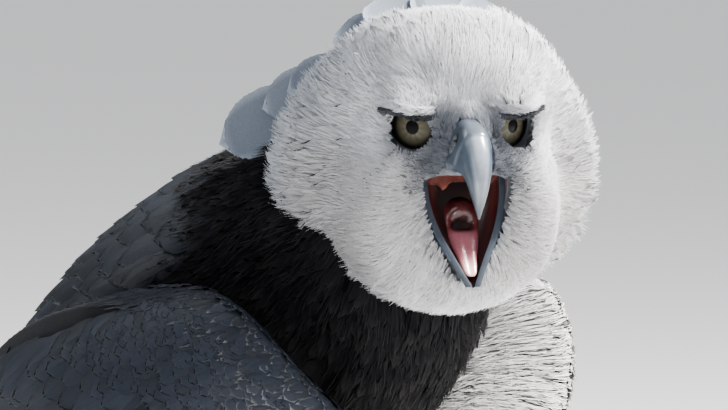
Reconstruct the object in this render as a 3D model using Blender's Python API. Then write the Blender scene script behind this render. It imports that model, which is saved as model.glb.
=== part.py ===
# A harpy eagle, life size, standing with its head turned to its right and its bill open.
# Metres, Z up. The bird faces -Y, its left side is +X, and the floor is at Z 0.
import math

import bmesh
import bpy
import numpy as np
from mathutils import Vector

GAP = 0.0003  # clearance between nodes that touch
KEPT = 0.80  # share of the triangles kept where unions and cuts have split flat faces
SIDES = {"left": 1, "right": -1}

# The body's axis runs from the front of the breast back and down to the tail.
BODY_START = Vector((0.0, -0.155, 0.505))
BODY_TILT = math.radians(30)
BODY_BACK = Vector((0, math.cos(BODY_TILT), -math.sin(BODY_TILT)))
BODY_UP = Vector((0, math.sin(BODY_TILT), math.cos(BODY_TILT)))
ACROSS = Vector((1, 0, 0))

# Stations of the trunk from the rump to the top of the neck:
# distance along the axis, lift, turn in degrees, half width, height above, depth below.
BODY_STATIONS = (
    (0.420, 0.000, 0, 0.022, 0.018, 0.020),
    (0.395, 0.000, 0, 0.038, 0.032, 0.034),
    (0.340, 0.000, 0, 0.064, 0.060, 0.062),
    (0.270, 0.000, 0, 0.092, 0.088, 0.092),
    (0.200, 0.000, 0, 0.110, 0.103, 0.112),
    (0.130, 0.000, 0, 0.116, 0.108, 0.120),
    (0.075, 0.003, 4, 0.111, 0.104, 0.112),
    (0.028, 0.010, 12, 0.098, 0.092, 0.098),
    (-0.012, 0.021, 18, 0.084, 0.073, 0.082),
    (-0.047, 0.031, 20, 0.074, 0.065, 0.069),
    (-0.075, 0.038, 20, 0.050, 0.045, 0.045),
)
BODY_RINGS = 19
BODY_POINTS = 24
NECK_RING = 12  # the ring where the neck is parted from the torso
NECK_LEAN = -0.010  # how far the top of the neck leans to the bird's right

# The head's frame starts midway between the eyes: forward, left and up.
EYE_MIDPOINT = Vector((-0.060, -0.260, 0.585))
HEAD_YAW = math.radians(39)
HEAD_PITCH = math.radians(13)
HEAD_FORWARD = Vector(
    (
        -math.sin(HEAD_YAW) * math.cos(HEAD_PITCH),
        -math.cos(HEAD_YAW) * math.cos(HEAD_PITCH),
        -math.sin(HEAD_PITCH),
    )
)
HEAD_LEFT = Vector((math.cos(HEAD_YAW), -math.sin(HEAD_YAW), 0))
HEAD_UP = HEAD_FORWARD.cross(HEAD_LEFT)

# Rounded forms that blend into the feathered head: centre and radii, forward, left, up.
HEAD_HEART = (-0.050, 0.0, -0.028)
HEAD_BLEND = 0.018
WIDE_BLEND = 0.032  # the soft cheeks and the beard run into the disc more gently
HEAD_FORMS = {
    "disc": ((-0.080, 0.0, -0.054), (0.069, 0.101, 0.078)),
    "beard": ((-0.014, 0.0, -0.078), (0.044, 0.058, 0.045)),
    "crown": ((-0.045, 0.0, 0.012), (0.052, 0.068, 0.049)),
    "muzzle": ((0.004, 0.0, -0.012), (0.029, 0.021, 0.026)),
    "chin": ((0.012, 0.0, -0.084), (0.030, 0.024, 0.022)),
}
HEAD_PAIRED_FORMS = {
    "brow": ((-0.004, 0.034, 0.0155), (0.023, 0.013, 0.0055)),
    "cheek": ((-0.004, 0.036, -0.046), (0.030, 0.022, 0.036)),
}
HEAD_BACK = 0.70  # the back of the disc form is this much shallower than its front
HEAD_TALL = 1.28  # and its upper half this much taller than its lower half
HEAD_RINGS = 17
HEAD_POINTS = 26

EYE_RADIUS = 0.017
EYE_PLACE = (-0.011, 0.0215, 0.0)
EYE_TURN = math.radians(36)  # how far each eye looks outwards
LID = 0.0018
OPENING = (0.0142, 0.0112)  # half width and half height of the open lids

# Profile of the upper bill from the cere to the tip: culmen, then cutting edge.
CULMEN = (
    (0.018, 0.0105),
    (0.034, 0.0118),
    (0.047, 0.0078),
    (0.0575, -0.003),
    (0.0632, -0.019),
    (0.0615, -0.0395),
)
CUTTING_EDGE = (
    (0.004, -0.0245),
    (0.024, -0.0215),
    (0.039, -0.0188),
    (0.0495, -0.0185),
    (0.0560, -0.0265),
    (0.0603, -0.0395),
)
BILL_RIDGE_WIDTH = (0.0104, 0.0100, 0.0094, 0.0080, 0.0052, 0.0007)
BILL_EDGE_WIDTH = (0.0262, 0.0186, 0.0128, 0.0094, 0.0056, 0.0007)
BILL_RINGS = 11
BILL_POINTS = 12
NOSTRIL = (0.0300, 0.0112, -0.0010)

# The lower bill: a scoop from the gape to its tip.
GAPE = (0.010, -0.0270)
LOWER_TIP = (0.0560, -0.0845)
LOWER_WIDTH = (0.0260, 0.0240, 0.0184, 0.0100, 0.0020)
LOWER_DEPTH = (0.0170, 0.0165, 0.0145, 0.0105, 0.0040)
LOWER_BOW = 0.0035  # how far the rim bows down between the gape and the tip
LOWER_WALL = 0.0022
SCOOP_ROOM = 0.0010  # how far the hollow under the tongue reaches into the lower bill's wall
SCOOP_TOP = 0.006  # and how far it reaches above the rim

# The mouth's hollow: distance forward, roof, floor, half width at the roof and the floor.
MOUTH = (
    (-0.036, -0.033, -0.049, 0.009, 0.007),
    (-0.014, -0.028, -0.050, 0.020, 0.014),
    (0.008, -0.0255, -0.040, 0.0272, 0.0250),
    (0.030, -0.0225, -0.056, 0.0272, 0.0215),
    (0.056, -0.0195, -0.088, 0.0280, 0.0060),
    (0.075, -0.0180, -0.108, 0.0280, 0.0050),
)
TONGUE = (
    (-0.0150, -0.0460, 0.0080, 0.0040),
    (-0.0040, -0.0475, 0.0108, 0.0056),
    (0.0060, -0.0510, 0.0110, 0.0050),
    (0.0160, -0.0600, 0.0098, 0.0034),
    (0.0290, -0.0700, 0.0088, 0.0030),
    (0.0405, -0.0760, 0.0070, 0.0026),
    (0.0495, -0.0800, 0.0042, 0.0018),
)

# A folded wing wraps the body: distance along its axis, angle about it and radius.
WING_FORWARD = {"left": 0.010, "right": -0.008}
WING_ARM = {"along": 0.150, "length": 0.150, "angle": -17, "sweep": 22, "spread": 34, "thickness": 0.022}
WING_RADIUS = (
    (0.00, 0.168),
    (0.06, 0.150),
    (0.12, 0.139),
    (0.20, 0.128),
    (0.30, 0.108),
    (0.42, 0.092),
    (0.54, 0.083),
    (0.66, 0.078),
)
WING_SQUARE = 0.42  # how far the pad's outline fills out towards a rectangle
WING_POINTS = 14
WING_RINGS = 8
WING_PAD_SINK = 0.008  # the pad lies this far under the surface that its feathers follow

# Rows of wing feathers, front to back: start along the axis, how much of the leading edge's
# slant they follow, length from the lowest to the highest feather, lowest and highest angle,
# count, half width, and height at the root, where the vane leaves the pad, and at the tip.
WING_ROWS = {
    "lesser_front": (0.006, 1.00, (0.062, 0.062), (-53, -9), 4, 0.0265, (-0.010, -0.001, 0.0060)),
    "lesser_back": (0.042, 0.95, (0.068, 0.068), (-55, -2), 5, 0.0250, (-0.014, -0.001, 0.0060)),
    "median": (0.086, 0.80, (0.086, 0.080), (-54, 4), 5, 0.0260, (-0.016, -0.001, 0.0056)),
    "greater": (0.134, 0.60, (0.110, 0.100), (-51, 11), 5, 0.0260, (-0.016, -0.001, 0.0052)),
    "secondary": (0.190, 0.30, (0.215, 0.235), (-41, 19), 7, 0.0165, (-0.016, -0.001, 0.0030)),
    "primary": (0.255, 0.00, (0.405, 0.245), (-17, -40), 5, 0.0120, (-0.008, -0.007, -0.0050)),
    "alula": (0.070, 0.00, (0.105, 0.085), (-65, -59), 2, 0.0140, (-0.008, 0.000, 0.0040)),
}
LEADING_SLANT = (0.107, -17, 31)  # how far back the leading edge lies, from an angle over a span
LOWER_SLANT = (0.024, -35, -22)
FEATHER_TILT = 0.0018  # each feather's lower edge lies this much over the next one
VANE = 0.0012  # thickness of a vane

# Outlines of a vane: share of the length and of the half width.
SHORT_VANE = ((0.0, 0.18), (0.13, 0.34), (0.62, 1.0), (1.0, 0.48))
LONG_VANE = ((0.0, 0.24), (0.06, 0.40), (0.40, 0.96), (0.86, 0.90), (1.0, 0.34))

BACK_LIFT = (-0.009, 0.0030, 0.0100)
# Rows of feathers on the back: start, length, first and last angle, count, half width.
BACK_ROWS = (
    (0.056, 0.106, 40, 140, 5, 0.0270),
    (0.120, 0.125, 34, 146, 6, 0.0270),
    (0.215, 0.135, 38, 142, 5, 0.0260),
)

# The tail hangs on from the rump.
TAIL_ROOT = BODY_START + BODY_BACK * 0.400
TAIL_TILT = math.radians(27)
TAIL_BACK = Vector((0, math.cos(TAIL_TILT), -math.sin(TAIL_TILT)))
TAIL_UP = Vector((0, math.sin(TAIL_TILT), math.cos(TAIL_TILT)))
TAIL_LENGTH = 0.40
TAIL_FEATHERS = 6  # on each side
TAIL_VANE_HALF = 0.0300
TAIL_FAN = (0.0035, 0.0066)  # spacing of the feathers at the root and at the tip
TAIL_LAYER = 0.0022
TAIL_VANE = 0.0007  # thickness of its vanes
TAIL_CORE = (0.085, 0.080, 0.024)  # length, width and height of the stump
# Covert rows over and under it: start, length, count, half width, height at root and tip.
TAIL_COVERTS = (
    (-0.030, 0.150, 5, 0.0200, 0.000, 0.0145),
    (-0.020, 0.150, 4, 0.0200, -0.004, -0.0205),
)

# The ruff: rows of vanes round the facial disc, by the turn away from the bill at root and tip,
# turn about the bill of the first and last vane on each side, count and half width.
RUFF_ROWS = (
    (67, 99, 28, 166, 7, 0.0240),
    (86, 115, 34, 170, 6, 0.0275),
)
RUFF_LIFT = (-0.009, 0.0015, 0.0105)
# What the neck keeps clear of: the head's surface, and more of it where the ruff lies.
RUFF_ROOM = ((0, 0.0150), (117, 0.0150), (128, 0.0004), (180, 0.0004))
# Crest feathers: the place of each tip forward, left and up, and half width.
CREST = (
    (-0.122, -0.088, -0.012, 0.0150),
    (-0.131, -0.102, -0.026, 0.0170),
    (-0.143, -0.127, -0.053, 0.0225),
    (-0.131, -0.057, 0.023, 0.0180),
    (-0.140, -0.026, 0.046, 0.0210),
    (-0.140, 0.014, 0.047, 0.0210),
    (-0.136, 0.052, 0.038, 0.0200),
    (-0.128, 0.083, 0.012, 0.0190),
    (-0.143, 0.090, -0.028, 0.0190),
)
CREST_ROOT = (-0.085, 0.0, 0.030)

# Legs, for the left side: centre, half width across and fore and aft.
THIGH = (
    (0.050, 0.010, 0.375, 0.036, 0.050),
    (0.057, 0.014, 0.335, 0.044, 0.060),
    (0.066, 0.026, 0.285, 0.048, 0.057),
    (0.073, 0.046, 0.230, 0.039, 0.044),
    (0.075, 0.064, 0.182, 0.027, 0.030),
    (0.075, 0.070, 0.158, 0.020, 0.022),
)
ANKLE = (0.075, 0.070, 0.160)
FOOT = (0.078, 0.030, 0.0)
TARSUS_RADIUS = 0.0135
PAD_RADIUS = 0.022
SCUTES = 6  # raised plates down the shank
SCUTE_STEP = 0.0009
# Toes: turn from straight ahead in degrees outwards, length, radius, claw length, claw radius.
TOES = {
    "hind": (172, 0.052, 0.0120, 0.080, 0.0092),
    "inner": (-32, 0.066, 0.0118, 0.066, 0.0080),
    "middle": (3, 0.088, 0.0112, 0.052, 0.0066),
    "outer": (38, 0.070, 0.0100, 0.042, 0.0056),
}
CLAW_BEND = math.radians(105)

MATERIALS = {
    "white_feather": ((0.78, 0.78, 0.80), 0.85),
    "slate_feather": ((0.060, 0.066, 0.080), 0.70),
    "barred_feather": ((0.50, 0.50, 0.50), 0.85),
    "horn": ((0.17, 0.21, 0.27), 0.35),
    "eye": ((0.20, 0.18, 0.13), 0.08),
    "tongue": ((0.62, 0.24, 0.24), 0.40),
    "leg_skin": ((0.72, 0.58, 0.16), 0.55),
    "claw": ((0.03, 0.03, 0.035), 0.30),
}

BIRD = bpy.data.collections.new("harpy_eagle")
CUTTERS = bpy.data.collections.new("cutters")


def clear_scene():
    for obj in list(bpy.data.objects):
        bpy.data.objects.remove(obj)
    for collection in (BIRD, CUTTERS):
        bpy.context.scene.collection.children.link(collection)
    CUTTERS.hide_render = True


def material(name):
    found = bpy.data.materials.get(name)
    if found:
        return found
    colour, roughness = MATERIALS[name]
    made = bpy.data.materials.new(name)
    made.use_nodes = True
    shader = made.node_tree.nodes["Principled BSDF"]
    shader.inputs["Base Color"].default_value = (*colour, 1)
    shader.inputs["Roughness"].default_value = roughness
    shader.inputs["Metallic"].default_value = 0.0
    return made


def node(name, bm, look):
    """A closed mesh as one named object of the bird."""
    bmesh.ops.recalc_face_normals(bm, faces=bm.faces)
    mesh = bpy.data.meshes.new(name)
    bm.to_mesh(mesh)
    bm.free()
    mesh.materials.append(material(look))
    mesh.shade_smooth()
    obj = bpy.data.objects.new(name, mesh)
    BIRD.objects.link(obj)
    return obj


def between(table, count):
    """Rows read from a smooth curve through a short table of stations."""
    rows = np.array(table, float)
    rows = np.vstack([2 * rows[0] - rows[1], rows, 2 * rows[-1] - rows[-2]])
    places = np.linspace(0, len(table) - 1, count)
    found = []
    for place in places:
        k = min(int(place), len(table) - 2)
        t = place - k
        a, b, c, d = rows[k : k + 4]
        found.append(
            0.5 * (2 * b + (c - a) * t + (2 * a - 5 * b + 4 * c - d) * t**2 + (3 * b - a - 3 * c + d) * t**3)
        )
    return np.array(found)


def smooth(table, at):
    """One value of a two column table, between its rows by a straight line."""
    xs, ys = zip(*table)
    return float(np.interp(at, xs, ys))


def skin_rings(rings):
    """A closed body through rings of points, with flat ends."""
    bm = bmesh.new()
    loops = [[bm.verts.new(p) for p in ring] for ring in rings]
    count = len(loops[0])
    for a, b in zip(loops, loops[1:]):
        for k in range(count):
            bm.faces.new((a[k], a[(k + 1) % count], b[(k + 1) % count], b[k]))
    bm.faces.new(loops[0])
    bm.faces.new(loops[-1])
    bmesh.ops.triangulate(bm, faces=bm.faces)
    return bm


def oval(centre, across, up, width, above, below, count):
    ring = []
    for k in range(count):
        turn = 2 * math.pi * (k + 0.5) / count
        height = above if math.sin(turn) > 0 else below
        ring.append(centre + across * (width * math.cos(turn)) + up * (height * math.sin(turn)))
    return ring


def swollen(obj, by=GAP):
    """A cutter: a copy of a node, larger all round by the gap."""
    bm = bmesh.new()
    bm.from_mesh(obj.data)
    bm.normal_update()
    for vertex in bm.verts:
        vertex.co += vertex.normal * by
    mesh = bpy.data.meshes.new("cutter_" + obj.name)
    bm.to_mesh(mesh)
    bm.free()
    cutter = bpy.data.objects.new(mesh.name, mesh)
    CUTTERS.objects.link(cutter)
    cutter.display_type = "WIRE"
    cutter.hide_render = True
    return cutter


def boolean(obj, other, operation, solver="MANIFOLD"):
    """Applies one Boolean with another object or with a collection of them."""
    modifier = obj.modifiers.new(operation.lower(), "BOOLEAN")
    modifier.operation = operation
    modifier.solver = solver
    if isinstance(other, bpy.types.Collection):
        modifier.operand_type = "COLLECTION"
        modifier.collection = other
    else:
        modifier.object = other
    bpy.context.view_layer.update()
    graph = bpy.context.evaluated_depsgraph_get()
    mesh = bpy.data.meshes.new_from_object(obj.evaluated_get(graph))
    obj.modifiers.clear()
    obj.data = mesh
    keep_largest(obj)


def keep_largest(obj):
    """Drops loose scraps and sealed hollows: only the largest closed surface stays."""
    bm = bmesh.new()
    bm.from_mesh(obj.data)
    bmesh.ops.triangulate(bm, faces=bm.faces)
    bm.faces.ensure_lookup_table()
    unseen = set(bm.faces)
    pieces = []
    while unseen:
        stack = [unseen.pop()]
        piece = list(stack)
        while stack:
            for edge in stack.pop().edges:
                for face in edge.link_faces:
                    if face in unseen:
                        unseen.remove(face)
                        stack.append(face)
                        piece.append(face)
        pieces.append(piece)
    pieces.sort(key=lambda piece: -sum(face.calc_area() for face in piece))
    scraps = [face for piece in pieces[1:] for face in piece]
    bmesh.ops.delete(bm, geom=scraps, context="FACES")
    bm.to_mesh(obj.data)
    bm.free()


def thin_out(obj, kept=KEPT):
    """Merges the slivers that unions and cuts leave in flat places."""
    modifier = obj.modifiers.new("thin_out", "DECIMATE")
    modifier.decimate_type = "COLLAPSE"
    modifier.ratio = kept
    bpy.context.view_layer.update()
    graph = bpy.context.evaluated_depsgraph_get()
    mesh = bpy.data.meshes.new_from_object(obj.evaluated_get(graph))
    obj.modifiers.clear()
    obj.data = mesh
    keep_largest(obj)


def cut(obj, *others, gap=GAP):
    """Cuts a node clear of others, leaving the gap that touching meshes keep."""
    for other in others:
        cutter = swollen(other, gap)
        boolean(obj, cutter, "DIFFERENCE")
        bpy.data.objects.remove(cutter)


def fuse(obj, pieces):
    """Joins a node's pieces by one union, and removes them."""
    group = bpy.data.collections.new("pieces_" + obj.name)
    bpy.context.scene.collection.children.link(group)
    for piece in pieces:
        for holder in list(piece.users_collection):
            holder.objects.unlink(piece)
        group.objects.link(piece)
    boolean(obj, group, "UNION")
    for piece in pieces:
        bpy.data.objects.remove(piece)
    bpy.data.collections.remove(group)


def vane_height(shape, heights, u):
    """Height along a vane that leaves its bed steeply at its second row, and then rises to its tip."""
    return float(np.interp(u, (0.0, shape[1][0], 1.0), heights))


def feather(place, shape, thick=VANE):
    """One vane: a curved strip, thickened. place(u, w) is a point of the strip."""
    rows = len(shape) - 1
    bm = bmesh.new()
    bmesh.ops.create_grid(bm, x_segments=1, y_segments=rows, size=1)
    for vertex in bm.verts:
        share, width = shape[round((vertex.co.y + 1) / 2 * rows)]
        vertex.co = place(share, vertex.co.x * width)
    bmesh.ops.triangulate(bm, faces=bm.faces)
    bmesh.ops.recalc_face_normals(bm, faces=bm.faces)
    bmesh.ops.solidify(bm, geom=bm.faces[:], thickness=thick)
    return node("feather", bm, "slate_feather")


# Head

def head_point(forward, left, up):
    return EYE_MIDPOINT + HEAD_FORWARD * forward + HEAD_LEFT * left + HEAD_UP * up


def blend_forms(a, b, reach):
    share = np.clip(0.5 + 0.5 * (b - a) / reach, 0, 1)
    return b * (1 - share) + a * share - reach * share * (1 - share)


def head_field(p):
    """Signed distance, about, from points in the head's frame to its feathered surface."""
    forms = list(HEAD_FORMS.items())
    for name, (centre, radii) in HEAD_PAIRED_FORMS.items():
        for side in (1, -1):
            forms.append((name, ((centre[0], side * centre[1], centre[2]), radii)))
    field = None
    for name, (centre, radii) in forms:
        offset = p - np.array(centre)
        size = np.tile(np.array(radii), (len(p), 1))
        if name == "disc":
            size[:, 0] = np.where(offset[:, 0] < 0, size[:, 0] * HEAD_BACK, size[:, 0])
            size[:, 2] = np.where(offset[:, 2] > 0, size[:, 2] * HEAD_TALL, size[:, 2])
        near = np.linalg.norm(offset / size, axis=1)
        steep = np.linalg.norm(offset / size**2, axis=1) + 1e-9
        distance = near * (near - 1) / steep
        blend = WIDE_BLEND if name.startswith(("beard", "cheek")) else HEAD_BLEND
        field = distance if field is None else blend_forms(field, distance, blend)
    return field


def head_radius(directions):
    """Distance from the head's heart to its surface along each direction, by halving."""
    heart = np.array(HEAD_HEART)
    low = np.full(len(directions), 0.01)
    high = np.full(len(directions), 0.16)
    for _ in range(26):
        middle = (low + high) / 2
        inside = head_field(heart + directions * middle[:, None]) < 0
        low = np.where(inside, middle, low)
        high = np.where(inside, high, middle)
    return low


def head_core(name="head", room=None):
    """The head without its ruff and crest; room is a distance by the turn away from the bill."""
    bm = bmesh.new()
    bmesh.ops.create_uvsphere(bm, u_segments=HEAD_POINTS, v_segments=HEAD_RINGS, radius=1)
    # The sphere's poles lie along the bill, so that its rings follow the facial disc.
    directions = np.array([(v.co.z, v.co.x, v.co.y) for v in bm.verts])
    directions /= np.linalg.norm(directions, axis=1)[:, None]
    reach = head_radius(directions)
    if room:
        turns = np.degrees(np.arccos(np.clip(directions[:, 0], -1, 1)))
        reach = reach + np.interp(turns, *zip(*room))
    places = np.array(HEAD_HEART) + directions * reach[:, None]
    for vertex, place in zip(bm.verts, places):
        vertex.co = head_point(*place)
    bmesh.ops.triangulate(bm, faces=bm.faces)
    return node(name, bm, "white_feather")


def ruff_vane(root, tip, turn, half):
    def place(u, w):
        away = math.radians(root + (tip - root) * u)
        about = math.radians(turn) + w * half / (0.10 * math.sin(away))
        way = np.array(
            (math.cos(away), math.sin(away) * math.sin(about), math.sin(away) * math.cos(about))
        )
        lift = vane_height(SHORT_VANE, RUFF_LIFT, u)
        lift += FEATHER_TILT * math.copysign(w, turn * w)
        reach = head_radius(way[None, :])[0] + lift
        return head_point(*(np.array(HEAD_HEART) + way * reach))

    return feather(place, SHORT_VANE)


def ruff():
    vanes = []
    for root, tip, first, last, count, half in RUFF_ROWS:
        for side in (1, -1):
            for k in range(count):
                turn = first + (last - first) * k / (count - 1)
                vanes.append(ruff_vane(root, tip, side * turn, half))
    return vanes


def crest_vane(tip, half):
    heart, top, end = np.array(HEAD_HEART), np.array(CREST_ROOT), np.array(tip)
    way = top + (end - top) * 0.42 - heart
    way /= np.linalg.norm(way)
    reach = head_radius(way[None, :])[0]
    root = heart + way * (reach - 0.010)
    bend = (root + end) / 2 + way * 0.006
    normal = np.array((0.80, 0.0, 0.60))
    path = end - root
    side = np.cross(path, normal)
    side /= np.linalg.norm(side)

    def place(u, w):
        at = root * (1 - u) ** 2 + 2 * bend * u * (1 - u) + end * u**2
        return head_point(*(at + side * (w * half)))

    return feather(place, LONG_VANE, 0.0013)


def eye_axes(side):
    """The eye's centre and its outward, sideways and upward directions."""
    forward, left, up = EYE_PLACE
    centre = head_point(forward, side * left, up)
    look = HEAD_FORWARD * math.cos(EYE_TURN) + HEAD_LEFT * (side * math.sin(EYE_TURN))
    return centre, look, HEAD_UP.cross(look), HEAD_UP


def ball(name, centre, radius, look, points=12, rings=8):
    bm = bmesh.new()
    bmesh.ops.create_uvsphere(bm, u_segments=points, v_segments=rings, radius=radius)
    for vertex in bm.verts:
        vertex.co += centre
    bmesh.ops.triangulate(bm, faces=bm.faces)
    return node(name, bm, look)


def lid_opening(side):
    """A cutter along the eye's axis with the almond outline of the open lids."""
    centre, look, across, up = eye_axes(side)
    rings = []
    for reach in (EYE_RADIUS * 0.35, EYE_RADIUS * 1.9):
        ring = []
        for k in range(16):
            turn = 2 * math.pi * k / 16
            wide = OPENING[0] * math.copysign(abs(math.cos(turn)) ** 0.9, math.cos(turn))
            high = OPENING[1] * math.sin(turn) * (0.72 if math.sin(turn) > 0 else 1.0)
            ring.append(centre + look * reach + across * wide + up * high)
        rings.append(ring)
    return node("opening", skin_rings(rings), "white_feather")


def upper_bill():
    culmen = between(CULMEN, BILL_RINGS)
    edge = between(CUTTING_EDGE, BILL_RINGS)
    ridge_width = between([(w,) for w in BILL_RIDGE_WIDTH], BILL_RINGS)[:, 0]
    edge_width = between([(w,) for w in BILL_EDGE_WIDTH], BILL_RINGS)[:, 0]
    rings = []
    for top, bottom, narrow, wide in zip(culmen, edge, ridge_width, edge_width):
        middle, half = (top + bottom) / 2, (top - bottom) / 2
        ring = []
        for k in range(BILL_POINTS):
            turn = 2 * math.pi * k / BILL_POINTS
            rise, out = math.cos(turn), math.sin(turn)
            if rise < 0:
                rise = -(abs(rise) ** 0.45)
            drop = (1 - rise) / 2
            width = narrow + (wide - narrow) * drop**2
            at = middle + half * rise
            ring.append(head_point(at[0], math.copysign(abs(out) ** 0.8, out) * width, at[1]))
        rings.append(ring)
    return node("bill_upper", skin_rings(rings), "horn")


def lower_sections(count):
    """Place along the rim, half width and depth of the lower bill's sections, and its downward line."""
    widths = between([(w,) for w in LOWER_WIDTH], count)[:, 0]
    depths = between([(d,) for d in LOWER_DEPTH], count)[:, 0]
    rim, tip = np.array(GAPE), np.array(LOWER_TIP)
    line = (tip - rim) / np.linalg.norm(tip - rim)
    below = np.array((line[1], -line[0]))
    places = [rim + (tip - rim) * share for share in np.linspace(0, 1, count)]
    return places, widths, depths, line, below


def lower_bill():
    """An open scoop, thickened into the lower bill."""
    along, around = 9, 8
    places, widths, depths, _, below = lower_sections(along + 1)
    bm = bmesh.new()
    bmesh.ops.create_grid(bm, x_segments=around, y_segments=along, size=1)
    for vertex in bm.verts:
        row = round((vertex.co.y + 1) / 2 * along)
        turn = vertex.co.x * math.pi / 2
        bow = LOWER_BOW * math.sin(math.pi * row / along)
        at = places[row] + below * (depths[row] * abs(math.cos(turn)) ** 0.8 + bow)
        vertex.co = head_point(at[0], widths[row] * math.sin(turn), at[1])
    bmesh.ops.triangulate(bm, faces=bm.faces)
    bmesh.ops.recalc_face_normals(bm, faces=bm.faces)
    bmesh.ops.solidify(bm, geom=bm.faces[:], thickness=LOWER_WALL)
    return node("bill_lower", bm, "horn")


def mouth_hollow():
    rings = []
    for forward, roof, floor, wide, narrow in between(MOUTH, 7):
        ring = []
        for k in range(12):
            turn = 2 * math.pi * k / 12
            out = math.copysign(abs(math.cos(turn)) ** 0.6, math.cos(turn))
            share = (1 + math.copysign(abs(math.sin(turn)) ** 0.6, math.sin(turn))) / 2
            width = narrow + (wide - narrow) * share
            ring.append(head_point(forward, width * out, floor + (roof - floor) * share))
        rings.append(ring)
    return node("mouth", skin_rings(rings), "tongue")


def scoop_hollow():
    """A cutter that clears the head from the lower bill and its inside."""
    places, widths, depths, line, below = lower_sections(7)
    rings = []
    for k, place in enumerate(places):
        at = place - line * (0.008 if k == 0 else 0.0)
        bow = LOWER_BOW * math.sin(math.pi * k / 6)
        down = HEAD_FORWARD * below[0] + HEAD_UP * below[1]
        centre = head_point(at[0], 0, at[1])
        wide = widths[k] + SCOOP_ROOM
        deep = depths[k] + SCOOP_ROOM
        ring = [centre - HEAD_LEFT * wide - down * SCOOP_TOP]
        for step in range(9):
            turn = math.pi * (step / 8 - 0.5)
            drop = bow + deep * abs(math.cos(turn)) ** 0.8
            ring.append(centre + HEAD_LEFT * (wide * math.sin(turn)) + down * drop)
        ring.append(centre + HEAD_LEFT * wide - down * SCOOP_TOP)
        rings.append(ring)
    return node("scoop", skin_rings(rings), "tongue")


def tongue():
    rings = []
    stations = between(TONGUE, 8)
    for k, (forward, up, width, height) in enumerate(stations):
        before = stations[max(k - 1, 0)]
        after = stations[min(k + 1, len(stations) - 1)]
        rise = math.atan2(after[1] - before[1], after[0] - before[0])
        normal = HEAD_UP * math.cos(rise) - HEAD_FORWARD * math.sin(rise)
        rings.append(oval(head_point(forward, 0, up), HEAD_LEFT, normal, width, height, height, 12))
    return node("tongue", skin_rings(rings), "tongue")


def nostril_cutters():
    made = []
    for side in (1, -1):
        forward, left, up = NOSTRIL
        bm = bmesh.new()
        bmesh.ops.create_uvsphere(bm, u_segments=8, v_segments=5, radius=1)
        for vertex in bm.verts:
            x, y, z = vertex.co
            vertex.co = head_point(forward + 0.0022 * x, side * left + 0.003 * y, up + 0.0042 * z)
        made.append(node("nostril", bm, "horn"))
    return made


def make_head():
    core = head_core()
    for side in (1, -1):
        centre, look, _, _ = eye_axes(side)
        shell = ball("lids", centre, EYE_RADIUS + LID, "white_feather", 16, 9)
        fuse(core, [shell])
    whole = swollen(core, GAP)
    eyes = {}
    for label, side in SIDES.items():
        centre = eye_axes(side)[0]
        eyes[label] = ball("eye_" + label, centre, EYE_RADIUS, "eye")
        opening = lid_opening(side)
        boolean(core, opening, "DIFFERENCE")
        bpy.data.objects.remove(opening)
        cut(core, eyes[label])
    upper, lower, lick = upper_bill(), lower_bill(), tongue()
    for hollow in (mouth_hollow(), scoop_hollow()):
        boolean(core, hollow, "DIFFERENCE")
        bpy.data.objects.remove(hollow)
    boolean(upper, whole, "DIFFERENCE")
    bpy.data.objects.remove(whole)
    for cutter in nostril_cutters():
        boolean(upper, cutter, "DIFFERENCE")
        bpy.data.objects.remove(cutter)
    fuse(core, [*ruff(), *(crest_vane(tip, half) for *tip, half in CREST)])
    cut(lick, lower)
    cut(core, lower, lick)
    thin_out(core)
    return core


# Trunk

def body_rings():
    rings = []
    for along, lift, turn, width, above, below in between(BODY_STATIONS, BODY_RINGS):
        lean = NECK_LEAN * min(1.0, max(0.0, (0.03 - along) / 0.1))
        angle = math.radians(turn)
        up = BODY_UP * math.cos(angle) + BODY_BACK * math.sin(angle)
        centre = BODY_START + BODY_BACK * along + BODY_UP * lift + ACROSS * lean
        rings.append(oval(centre, ACROSS, up, width, above, below, BODY_POINTS))
    return rings


def trunk_point(along, angle, lift):
    """A point over the trunk's surface, by the oval's own angle."""
    rows = between(BODY_STATIONS, 60)[::-1]
    found = [float(np.interp(along, rows[:, 0], rows[:, k])) for k in range(6)]
    _, rise, turn, width, above, below = found
    tip, at = math.radians(turn), math.radians(angle)
    up = BODY_UP * math.cos(tip) + BODY_BACK * math.sin(tip)
    centre_point = BODY_START + BODY_BACK * along + BODY_UP * rise
    height = above if math.sin(at) > 0 else below
    return (
        centre_point
        + ACROSS * ((width + lift) * math.cos(at))
        + up * ((height + lift) * math.sin(at))
    )


def back_vane(start, length, angle, half):
    def place(u, w):
        lift = vane_height(SHORT_VANE, BACK_LIFT, u)
        lift -= FEATHER_TILT * w * math.copysign(1, angle - 90)
        return trunk_point(start + length * u, angle - math.degrees(w * half / 0.10), lift)

    return feather(place, SHORT_VANE)


def back_feathers():
    vanes = []
    for start, length, first, last, count, half in BACK_ROWS:
        for k in range(count):
            angle = first + (last - first) * k / (count - 1)
            vanes.append(back_vane(start, length, angle, half))
    return vanes


def make_trunk():
    rings = body_rings()
    torso = node("torso", skin_rings(rings[: NECK_RING + 1]), "slate_feather")
    fuse(torso, back_feathers())
    parting = rings[NECK_RING]
    middle = sum(parting, Vector()) / len(parting)
    forward = (sum(rings[NECK_RING + 1], Vector()) / len(parting) - middle).normalized()
    neck_rings = [[p + forward * GAP for p in parting], *rings[NECK_RING + 1 :]]
    neck = node("neck", skin_rings(neck_rings), "slate_feather")
    return torso, neck


# Wings

def body_point(side, along, angle, radius):
    turn = math.radians(angle)
    out = ACROSS * (side * math.cos(turn)) + BODY_UP * math.sin(turn)
    return BODY_START + BODY_BACK * along + out * radius


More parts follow.
